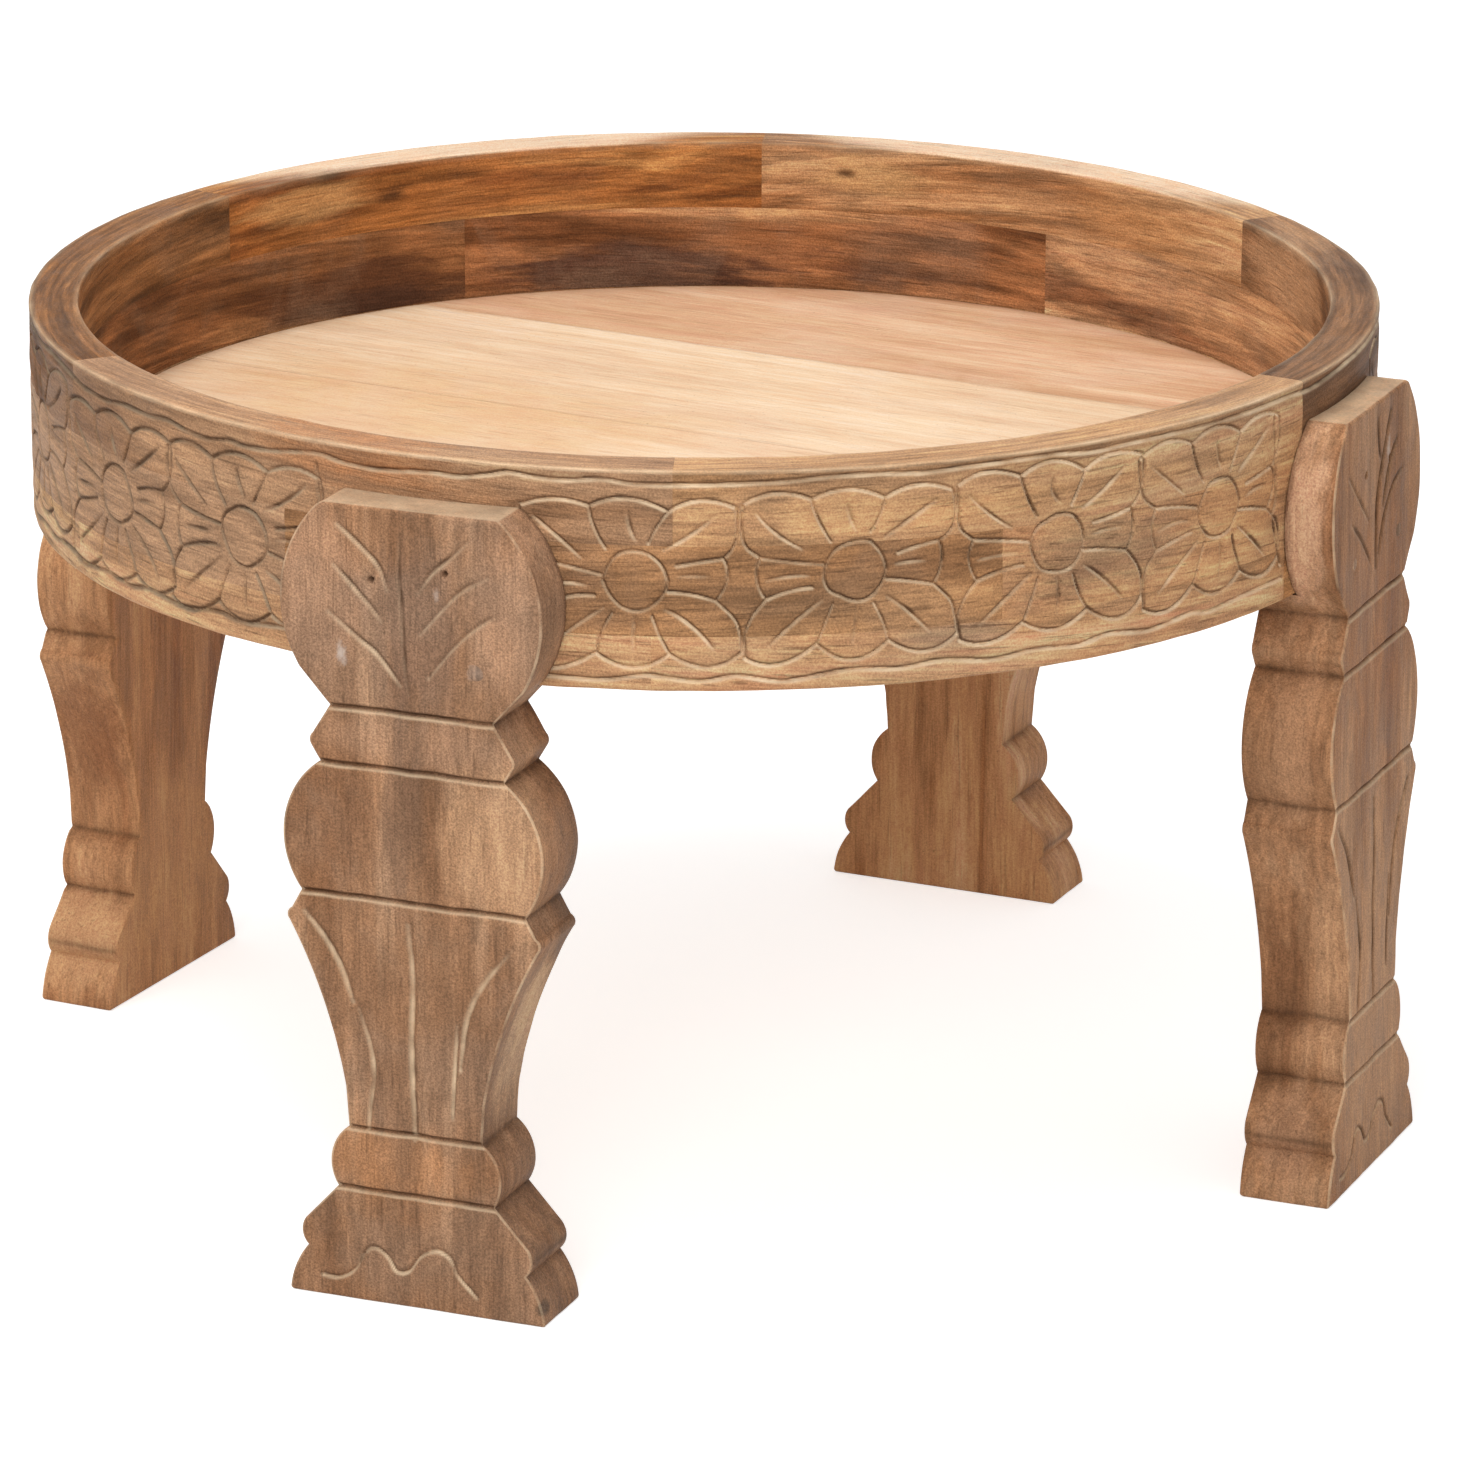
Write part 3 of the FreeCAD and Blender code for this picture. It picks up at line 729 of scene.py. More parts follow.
@dataclass
class FlowerFrieze:
    """The carved band round the rim: rows of petalled flowers between two wavy lines.

    Flower places and line knots are angles in degrees and heights in millimetres.
    """

    pitch: float = 17.25
    bay_middles: tuple[float, ...] = (-131.7, -45.3, 45.2, 134.8)
    flower_places: tuple[Point, ...] = (
        (-122.7, 346.5), (-105.9, 347.0), (-71.3, 348.8), (-53.8, 352.2), (-36.4, 354.7),
        (-19.2, 354.7),
    )
    top_line: tuple[Point, ...] = (
        (-128.4, 390), (-124.5, 389.5), (-121, 391.5), (-117.9, 391), (-115, 392),
        (-112.4, 389.8), (-109.9, 388.8), (-107.5, 390.6), (-105.7, 389.8), (-103, 390.6),
        (-100.5, 392.5), (-97.9, 393.6), (-96, 391.6), (-93.4, 390.6), (-91.3, 391),
        (-89.3, 392), (-87.3, 392.3), (-85.4, 392), (-83.1, 394), (-81.5, 396), (-79.3, 394.6),
        (-76.9, 394), (-74, 395.3), (-71.4, 393.5), (-68.3, 393.4), (-60.3, 394.4),
        (-56.3, 396), (-52.3, 396.4), (-48.3, 395.2), (-44.3, 396), (-37.3, 396.6),
        (-33.3, 394.9), (-28.3, 395.7), (-19.3, 395.2), (-10.3, 395.6), (-6, 394.2),
        (-1.8, 395.2), (3.4, 396.4), (11.6, 396.2),
    )
    bottom_line: tuple[Point, ...] = (
        (-37, 304), (-29, 302.2), (-25, 305), (-21, 302.5), (-18, 305), (-14, 302), (-9, 306),
        (-5, 305), (-1, 307), (3, 304.5), (7, 306.5), (11, 305), (14, 307.5), (18, 305),
        (23, 308), (25, 306), (29, 308), (35, 309),
    )

    DEGREE = math.radians(1.0) * RIM_RADIUS
    PETALS = (
        Stroke(((-15, 2.8), (-29, 5.6), (-42.5, 7))),
        Stroke(((-19, -7.2), (-30, -9.2), (-41, -12.5))),
        Stroke(((-42.5, 7), (-44.6, -2.5), (-41, -12.5))),
        Stroke(((-42.5, 7), (-49.5, 13), (-51.7, 22), (-51.7, 32))),
        Stroke(((-51, 33.2), (-36.7, 37.2), (-20, 33.3)), 1.8, 1.35, bright=1.1),
        Stroke(((-20, 33.3), (-3.3, 38.2), (14.2, 32.5)), 1.8, 1.35, bright=1.15),
        Stroke(((14.2, 32.5), (29, 37.4), (45.6, 34)), 1.8, 1.35, bright=1.1),
        Stroke(((-20, 32.8), (-17.5, 24), (-12, 14))),
        Stroke(((14.2, 32.2), (11, 25), (6.7, 17))),
        Stroke(((45.6, 34), (45.8, 20), (39.2, 10.8))),
        Stroke(((19, 6.7), (29, 9.4), (39.2, 10.8))),
        Stroke(((39.2, 10.8), (41, 1), (36.7, -9.2))),
        Stroke(((14, -5.2), (26, -6.8), (36.7, -9.2))),
        Stroke(((36.7, -9.2), (44.5, -17), (47.6, -25), (48, -33))),
        Stroke(((48, -33), (33, -40.2), (15.8, -33.8)), 1.8, 1.35, bright=0.95),
        Stroke(((15.8, -33.8), (-0.8, -40.6), (-17.5, -34.5)), 1.8, 1.35, bright=1.0),
        Stroke(((-17.5, -34.5), (-34.7, -42.4), (-49.4, -38.6)), 1.8, 1.35, bright=0.95),
        Stroke(((15.8, -33.6), (12, -25), (8, -15.8))),
        Stroke(((-17, -34), (-14, -24), (-10, -15))),
        Stroke(((-41, -12.5), (-47.3, -20), (-49.2, -29), (-49.2, -38.3))),
    )
    VEINS = (
        Stroke(((-21.7, -1.7), (-31, -1.9), (-40, -3.3)), 1.6, 0.8, True),
        Stroke(((-45, 27.5), (-35, 18.5), (-24.5, 11)), 1.8, 1.1, True, bright=1.0),
        Stroke(((-3.3, 31), (-2.6, 25), (0, 19)), 2.2, 1.0, True, bright=1.0),
        Stroke(((36, 30), (25, 21.5), (13.5, 14.5)), 2.0, 1.2, True, bright=1.0),
        Stroke(((19, 1.4), (26, 2.6), (33, 2.5)), 1.6, 0.8, True),
        Stroke(((14, -12.6), (25, -21), (35, -31)), 2.0, 1.2, True, bright=0.95),
        Stroke(((0.3, -16.7), (0.2, -25), (-0.5, -32.5)), 1.7, 0.9, True),
        Stroke(((-14.5, -12.8), (-27, -22), (-40, -33)), 1.8, 1.1, True),
    )
    DIVIDER = ((0.0, 388), (1.5, 366), (2.6, 350), (0.6, 338), (7.5, 316))

    @staticmethod
    def _disc(radius: float) -> tuple[Stroke, ...]:
        """The round line about a flower's disc, in six cuts."""
        turns = [[math.radians(start + step) for step in (0, 30, 60)]
                 for start in range(0, 360, 60)]
        return tuple(
            Stroke(tuple((radius * math.cos(a), radius * math.sin(a)) for a in turn), bright=0.7)
            for turn in turns)

    def _places(self) -> list[Point]:
        """Angle and height of every flower: as seen in front, even at the back."""
        places = list(self.flower_places)
        for middle in self.bay_middles:
            for step in (-1.5, -0.5, 0.5, 1.5):
                angle = middle + step * self.pitch
                if all(abs(angle - seen) > 4.0 for seen, _ in self.flower_places):
                    places.append((angle, 353.0 + 1.5 * math.sin(angle)))
        return places

    def _whole_top_line(self) -> list[Point]:
        """Angle and height of the top line all round, as seen in front, even at the back."""
        first, last = self.top_line[0], self.top_line[-1]
        angles = np.arange(last[0] + 4.0, first[0] + FULL_TURN - 3.0, 4.1)
        heights = 394.5 + 1.7 * ripple(angles, np.zeros_like(angles), 31, 34.0)
        rest = [(float(a), float(z)) for a, z in zip(angles, heights)]
        return [*self.top_line, *rest, (first[0] + FULL_TURN, first[1])]

    def _line(self, knots: list[Point], dirt_and_shade: float) -> list[Stroke]:
        """A long wavy line as short cuts."""
        places = [(a * self.DEGREE, z) for a, z in knots]
        return [Stroke(tuple(places[max(start - 1, 0):start + 5]), 2.0, 1.3, dirt_and_shade=dirt_and_shade,
                       bright=0.95)
                for start in range(0, len(places) - 1, 3)]

    def _flower(self, number: int, across: float, up: float) -> list[Stroke]:
        """Lay out one flower with the unevenness of the hand.

        Args:
            number: Which flower.
            across: Its middle, as the length round the rim.
            up: Its middle's height.

        Returns:
            Its cuts.
        """
        dice = np.random.default_rng(number)
        cuts = []
        for cut in self.PETALS + self.VEINS + self._disc(13.9):
            x, z = np.array(cut.points, dtype=float).T
            points = zip(x + ripple(x, z, number, 46.0) * 0.9,
                         z + ripple(x, z, number + 50, 46.0) * 0.8)
            depth = cut.depth * float(dice.uniform(0.82, 1.15))
            bright = cut.bright * float(dice.uniform(0.6, 1.2))
            cut = replace(cut, points=tuple(points), depth=depth, bright=bright)
            cuts.append(cut.moved(across, up))
        return cuts

    def strokes(self) -> list[Stroke]:
        """Every cut of the band, across being the length round the rim from angle 0.

        Cuts far round the back come twice, the second time under their angle less a turn.
        """
        cuts: list[Stroke] = []
        for number, (angle, height) in enumerate(self._places()):
            cuts += self._flower(number, angle * self.DEGREE, height)
        cuts += self._line(self._whole_top_line(), 0.05)
        for middle in self.bay_middles:
            cuts += self._line([(middle + a, z) for a, z in self.bottom_line], 0.0)
            end = (middle + 33.4) * self.DEGREE
            cuts.append(Stroke(self.DIVIDER, 2.0, 1.2).moved(end, 0.0))
        around = FULL_TURN * self.DEGREE
        return cuts + [cut.moved(-around, 0.0) for cut in cuts
                       if max(x for x, _ in cut.points) > 0.3 * around]


class Course(Enum):
    """The three courses of the rim."""

    BASE = "base"
    MIDDLE = "middle"
    TOP = "top"


@dataclass
class Rim:
    """The rim: three courses of six curved blocks, carved outside. Sizes in millimetres."""

    shop: MaterialShop
    radius: float = RIM_RADIUS
    wall: float = 24.5
    heights: tuple[float, float, float, float] = (RIM_BOTTOM, 323.0, 365.0, 400.0)
    top_arris: float = 1.6
    bottom_arris: float = 2.5
    ledge_width: float = 15.0
    ledge_height: float = 307.0
    step: float = 0.64
    starts: dict[Course, float] = field(default_factory=lambda: {
        Course.BASE: -10.0, Course.MIDDLE: 18.5, Course.TOP: -7.5})
    top_shares: tuple[float, ...] = (0.1625, 0.1597, 0.1625, 0.1732, 0.1732, 0.1689)
    even_shares: tuple[float, ...] = (1 / 6,) * 6

    ON_JOINT = 0.02
    PILLOW = 0.65
    # The left bay in radians, how its edges fade, and the least share of light left on its cuts:
    # the bay lies away from the light, so its cuts lose part of their painted highlight and get
    # painted shade instead.
    SHADED_BAY = (-3.05, -1.9)
    SHADED_BAY_FADE = (0.35, 0.55)
    SHADED_BAY_LEAST_LIGHT = 0.42
    SEEDS = {Course.BASE: 10, Course.MIDDLE: 20, Course.TOP: 30}
    PURPLE = (88, 58, 44)
    # Painted highlight: a pale strip over the rim's top face, standing in for light from above
    # falling on it.
    RIM_LIGHT = (312, 0, 400, 30, 300, 2, 246, 213, 180, 0.9, 0.2)
    QUIET = {"grey_share": 0.3, "clouds": 0.06, "rings": 0.12, "streaks": 0.2, "pores": 0.42}
    CALM = {**QUIET, "streaks": 0.12, "pores": 0.3}
    WOODS = {
        Course.BASE: (
            toned((138, 94, 58), (180, 131, 86), (206, 159, 112)),
            toned((128, 88, 54), (170, 121, 78), (198, 149, 102)),
            toned((130, 88, 52), (172, 121, 77), (200, 151, 102)),
            toned((183, 141, 100), (213, 169, 126), (230, 188, 144), **QUIET),
            toned((191, 145, 105), (214, 168, 123), (231, 187, 143),
                  **{**QUIET, "grey_share": 0.15}),
            toned((178, 132, 92), (207, 159, 114), (226, 180, 134),
                  (318, -30, 318, 20, 30, 8, 160, 128, 104, 0.6), **QUIET),
        ),
        Course.MIDDLE: (
            toned((134, 90, 60), (175, 129, 91), (201, 155, 114),
                  (290, 140, 330, 16, 50, 5, *PURPLE, 0.6)),
            toned((119, 75, 45), (163, 110, 71), (199, 148, 102),
                  (285, 45, 334, 30, 130, 16, *PURPLE, 1.0, 0.5),
                  (285, 55, 326, 30, 100, 10, 74, 48, 36, 0.8, 0.4), streaks=0.2),
            toned((106, 67, 40), (142, 94, 58), (176, 125, 82),
                  (285, -90, 336, 30, 120, 20, 98, 62, 40, 1.0, 0.5),
                  (285, -110, 327, 30, 80, 10, 70, 46, 34, 0.8, 0.4), streaks=0.2),
            toned((152, 115, 85), (179, 139, 106), (196, 154, 117), **CALM),
            toned((134, 95, 63), (164, 119, 80), (184, 137, 94),
                  (310, 70, 338, 40, 50, 12, 132, 96, 64, 0.6), **QUIET),
            toned((164, 117, 79), (195, 144, 100), (213, 163, 115),
                  (300, -120, 345, 50, 50, 20, 140, 106, 80, 0.6), **QUIET),
        ),
        Course.TOP: (
            toned((98, 66, 42), (134, 95, 64), (160, 117, 82),
                  (290, 110, 382, 30, 80, 30, 190, 146, 108, 0.7), grey_share=0.2, streaks=0.16),
            toned((152, 104, 66), (190, 144, 102), (214, 171, 126),
                  (290, 105, 386, 20, 50, 12, 210, 164, 112, 0.7),
                  (290, 105, 386, 20, 8, 3.5, 96, 64, 38, 0.9), RIM_LIGHT,
                  (290, -60, 381, 20, 100, 14, 188, 136, 90, 0.7), grey_share=0.2),
            toned((116, 68, 34), (164, 105, 56), (202, 146, 88), RIM_LIGHT,
                  (280, 95, 386, 30, 50, 12, 206, 158, 104, 0.6),
                  (275, 78, 397, 20, 18, 6, 62, 40, 26, 0.95),
                  (285, 45, 383, 20, 12, 6, 78, 50, 30, 0.9),
                  (285, -30, 384, 20, 50, 8, 140, 80, 42, 0.7), grey_share=0.1, streaks=0.2),
            toned((96, 63, 36), (134, 90, 54), (162, 115, 74),
                  (260, -130, 390, 30, 50, 12, 74, 50, 32, 0.7),
                  (285, 150, 375, 22, 90, 24, 158, 122, 94, 0.8), grey_share=0.2),
            toned((150, 110, 78), (178, 136, 101), (196, 153, 115),
                  (310, 20, 392, 30, 60, 14, 194, 130, 82, 0.7),
                  (288, -150, 372, 40, 55, 40, 132, 96, 70, 0.6), **CALM),
            toned((172, 128, 88), (199, 153, 110), (216, 172, 128),
                  (312, -75, 377, 30, 80, 14, 224, 173, 121, 0.75), **QUIET),
        ),
    }

    @staticmethod
    def _run(start: Point, end: Point, step: float) -> list[Point]:
        """Evenly spaced points of one straight side."""
        length = math.hypot(end[0] - start[0], end[1] - start[1])
        count = max(int(round(length / step)), 1)
        return [(start[0] + (end[0] - start[0]) * index / count,
                 start[1] + (end[1] - start[1]) * index / count) for index in range(count + 1)]

    @staticmethod
    def _bend(centre: Point, radius: float, start: float, end: float, count: int) -> list[Point]:
        """Points of a rounded arris between two angles in degrees, without its ends."""
        angles = np.radians(np.linspace(start, end, count + 2)[1:-1])
        return [(centre[0] + radius * math.cos(a), centre[1] + radius * math.sin(a))
                for a in angles]

    def section(self, course: Course) -> tuple[np.ndarray, int]:
        """Outline of a block's section and how many of its first points are carved.

        Args:
            course: Which course the block lies in.

        Returns:
            Radius and height of each point, outer face first and upwards, and the count.
        """
        outer, inner = self.radius, self.radius - self.wall
        foot, ledge, joint, top = self.heights
        if course is Course.MIDDLE:
            face = self._run((outer, ledge), (outer, joint), self.step)
            return np.array(face + self._run((inner, joint), (inner, ledge), 3.0)), len(face)
        if course is Course.TOP:
            arris = self.top_arris
            face = self._run((outer, joint), (outer, top - arris), self.step)
            face += self._bend((outer - arris, top - arris), arris, 0.0, 90.0, 4)
            flat = self._run((outer - arris, top), (inner + arris, top), 2.2)
            bend = self._bend((inner + arris, top - arris), arris, 90.0, 180.0, 4)
            back = self._run((inner, top - arris), (inner, joint), 3.0)
            return np.array(face + flat + bend + back), len(face)
        arris, shelf, lip = self.bottom_arris, self.ledge_height, inner - self.ledge_width
        face = self._bend((outer - arris, foot + arris), arris, -90.0, 0.0, 3)
        face += self._run((outer, foot + arris), (outer, ledge), self.step)
        rest = [(inner, ledge), (inner, shelf + 0.2)]
        rest += self._run((inner, shelf), (lip, shelf), 5.0) + [(lip, foot + 1.0)]
        rest += self._run((lip + 1.0, foot), (outer - arris, foot), 4.0)
        return np.array(face + rest), len(face)

    def _normals(self, section: np.ndarray) -> np.ndarray:
        """The way out of the wood along a section, level at the joints.

        Args:
            section: Radius and height of each point.

        Returns:
            The direction at each point, as its radius and height.
        """
        ahead = np.roll(section, -1, 0) - np.roll(section, 1, 0)
        normal = np.stack([ahead[:, 1], -ahead[:, 0]], -1)
        normal /= np.maximum(np.linalg.norm(normal, axis=1, keepdims=True), 1e-9)
        for level in self.heights[1:3]:
            joint = np.abs(section[:, 1] - level) < self.ON_JOINT
            normal[joint] = np.stack([
                np.sign(section[joint, 0] - self.radius + self.wall / 2.0),
                np.zeros(joint.sum())], -1)
        return normal

    def _round(self, angles: np.ndarray) -> np.ndarray:
        """Length round the rim from angle 0, in one run where a block passes the back.

        Args:
            angles: Angles of the block's rings, in degrees.

        Returns:
            The lengths as a single row.
        """
        half = math.pi * self.radius
        length = (np.radians(angles)[None, :] * self.radius + half) % (2.0 * half) - half
        if length.max() - length.min() > half:
            length = np.where(length > 0.0, length - 2.0 * half, length)
        return length

    def build_block(self, course: Course, number: int, start: float, span: float,
                    panel: CarvedPanel, finish: WoodFinish) -> None:
        """Shape, carve and dress one block.

        Args:
            course: Which course it lies in.
            number: Its number in the course, from 1.
            start: Angle where it begins, in degrees.
            span: Angle that it takes, in degrees.
            panel: The carving round the rim.
            finish: Its own wood.
        """
        name = f"rim_{course.value}_segment_{number}"
        section, carved = self.section(course)
        radius, height = section[:, 0], section[:, 1]
        columns = int(round(math.radians(span) * self.radius / self.step)) + 1
        angles = np.linspace(start, start + span, columns)
        pinch = 0.15 * 180.0 / (math.pi * self.radius)
        angles = np.concatenate([[angles[0], angles[0] + pinch], angles[1:-1],
                                 [angles[-1] - pinch, angles[-1]]])
        seed = self.SEEDS[course] + number
        length = self._round(angles)
        up = height[:carved, None] + np.zeros_like(length)
        relief = panel.relief(length + np.zeros_like(up), up, self.PILLOW, 5)
        sink, rub_and_highlight, shade = (np.zeros((len(section), len(angles))) for _ in range(3))
        sink[:carved] = relief.sink + 0.16 + 0.12 * ripple(length, up, 7, 60.0)
        sink[carved:] = 0.22 + 0.12 * ripple(length, height[carved:, None], 8, 140.0)
        self._paint(length / self.radius, relief, rub_and_highlight[:carved], shade[:carved])
        self._ease(course, section, carved, sink, rub_and_highlight, shade, length)
        sink[:, [0, -1]] += 0.05
        shade[:, [0, -1]] = np.maximum(shade[:, [0, -1]], 0.12)
        sink = np.maximum(sink, 0.02)
        normal = self._normals(section)
        reach = radius[:, None] - normal[:, 0:1] * sink
        rings = turned(reach, 0.0, height[:, None] - normal[:, 1:2] * sink, np.radians(angles))
        piece = loft(name, rings.transpose(1, 0, 2), {"rub_and_highlight": rub_and_highlight.T, "shade": shade.T})
        material = self.shop.wood(f"{name}_wood", finish, Grain.AROUND, start + span / 2.0, seed)
        settle(piece, material, name)

    def _paint(self, angle: np.ndarray, relief: Relief, rub_and_highlight: np.ndarray,
               shade: np.ndarray) -> None:
        """Paint the cuts of a block: pale, but dull and dirty in the left bay.

        Args:
            angle: Angle round the rim, in radians.
            relief: What the carving does.
            rub_and_highlight: Mask of rubbed wood and painted highlight on the outer face, filled
                in place.
            shade: Mask of painted shade and grime on the outer face, filled in place.
        """
        (low, high), (before, after) = self.SHADED_BAY, self.SHADED_BAY_FADE
        # pale: share of light on the cuts, least in the left bay.
        pale = np.maximum((angle - high) / after, (low - angle) / before)
        pale = self.SHADED_BAY_LEAST_LIGHT + (1.0 - self.SHADED_BAY_LEAST_LIGHT) * np.clip(pale, 0.0, 1.0)
        rub_and_highlight[:] = relief.rub_and_highlight * pale ** 1.5
        shade[:] = np.clip(relief.shade * (2.0 - pale) + 1.5 * relief.rub_and_highlight * (1.0 - pale), 0.0, 0.9)

    def _ease(self, course: Course, section: np.ndarray, carved: int, sink: np.ndarray,
              rub_and_highlight: np.ndarray, shade: np.ndarray, length: np.ndarray) -> None:
        """Ease the joint edges of one block, make its arrises pale from handling and darken a band
        under the top arris, in place.

        Args:
            course: Which course the block lies in.
            section: Radius and height of each point of the section.
            carved: How many of its first points belong to the outer face.
            sink: Depth at each point.
            rub_and_highlight: Mask of rubbed wood and painted highlight.
            shade: Mask of dark wood.
            length: Place round the rim.
        """
        height, top = section[:, 1], self.heights[-1]
        for level in self.heights[1:3]:
            sink[np.abs(height - level) < self.ON_JOINT] += 0.05
        if course is not Course.TOP:
            return
        uneven = 0.5 + 0.5 * ripple(length, np.zeros_like(length), 77, 90.0)[0]
        for edge, least, more in ((self.radius - 0.8, 0.22, 0.4),
                                  (self.radius - self.wall + 0.8, 0.08, 0.3)):
            for row in np.flatnonzero(height > top - 1.8):
                near = max(1.0 - abs(section[row, 0] - edge) / 1.5, 0.0)
                rub_and_highlight[row] = np.maximum(rub_and_highlight[row], near * (least + more * uneven))
                sink[row] += 0.4 * near * uneven
        for row in np.flatnonzero(height[:carved] > top - 11.0):
            band = min((height[row] - top + 11.0) / 4.0, 1.0) * min((top - height[row]) / 1.6, 1.0)
            shade[row] = np.maximum(shade[row], band * (0.12 + 0.2 * uneven))

    def build(self) -> None:
        """Build all eighteen blocks."""
        panel = CarvedPanel(FlowerFrieze().strokes())
        for course, woods in self.WOODS.items():
            shares = self.top_shares if course is Course.TOP else self.even_shares
            start = self.starts[course]
            for number, (share, finish) in enumerate(zip(shares, woods), start=1):
                span = FULL_TURN * share
                self.build_block(course, number, start, span, panel, finish)
                start += span


@dataclass
class TrayFloor:
    """The tray floor: five boards glued edge to edge and cut round. Sizes in millimetres."""

    shop: MaterialShop
    radius: float = 299.9
    bottom: float = 307.0
    thickness: float = 16.0
    turn: float = -4.6
    joints: tuple[float, ...] = (-0.62, -0.29, 0.04, 0.53)

    WOODS = (
        ((232, 194, 156), (240, 206, 168), (246, 216, 182)),
        ((236, 202, 166), (243, 212, 178), (249, 222, 190)),
        ((232, 194, 156), (240, 205, 169), (246, 216, 182)),
        ((231, 196, 160), (240, 207, 171), (246, 218, 185)),
        ((212, 166, 128), (225, 180, 143), (236, 196, 160)),
    )
    WEAR = (-150, -10, 323, 170, 80, 20, 228, 185, 140, 0.75, 0.3)

    def build_board(self, number: int, near: float, far: float) -> None:
        """Shape and dress one board that lies between two glue lines.

        Args:
            number: Its number, nearest board first.
            near: Distance of its near edge from the centre line.
            far: Distance of its far edge.
        """
        name = f"tray_board_{number}"
        row_step, seam, points = 2.5, 0.25, 240
        rows = max(int((far - near) / row_step), 8)
        places = np.concatenate([[near, near + seam], np.linspace(near, far, rows)[1:-1],
                                 [far - seam, far]])
        half = np.sqrt(np.maximum(self.radius ** 2 - places ** 2, 0.04))
        share = np.sin(np.linspace(-math.pi / 2, math.pi / 2, points))
        share = np.concatenate([share, share[::-1]])
        upper = (np.arange(len(share)) < len(share) // 2)[None, :]
        across = half[:, None] * share[None, :]
        along = places[:, None] + np.zeros_like(across)
        top = self.bottom + self.thickness - 0.12 + 0.1 * ripple(across, along, 40 + number, 180.0)
        edge = np.minimum(half[:, None] - np.abs(across), 0.6) / 0.6
        top = top - 0.3 * (1.0 - edge)
        top[[0, -1]] -= 0.12
        level = np.where(upper, top, self.bottom)
        rings = turned(across, along, level, math.radians(self.turn))
        # Painted shade: the boards darken towards the rim wall, in the corner where they meet it.
        dirt_and_shade = np.exp(-(self.radius - np.hypot(across, along)) / 5.0) * 0.55
        shade = np.where(upper, dirt_and_shade, 0.0)
        shade[[0, 1, -2, -1]] = np.maximum(shade[[0, 1, -2, -1]], 0.22)
        finish = toned(*self.WOODS[number - 1], self.WEAR, grey=(236, 204, 176), grey_share=0.3,
                       streaks=0.05, rings=0.05, clouds=0.06, grit=0.09, fibre=0.06, pores=0.12,
                       roughness=0.5, shade=(132, 88, 60))
        material = self.shop.wood(f"{name}_wood", finish, Grain.LENGTHWISE, self.turn, number)
        settle(loft(name, rings, {"shade": shade}), material, name)

    def build(self) -> None:
        """Build all five boards."""
        edges = [-1.0, *self.joints, 1.0]
        for number, (near, far) in enumerate(zip(edges, edges[1:]), start=1):
            self.build_board(number, near * self.radius, far * self.radius)


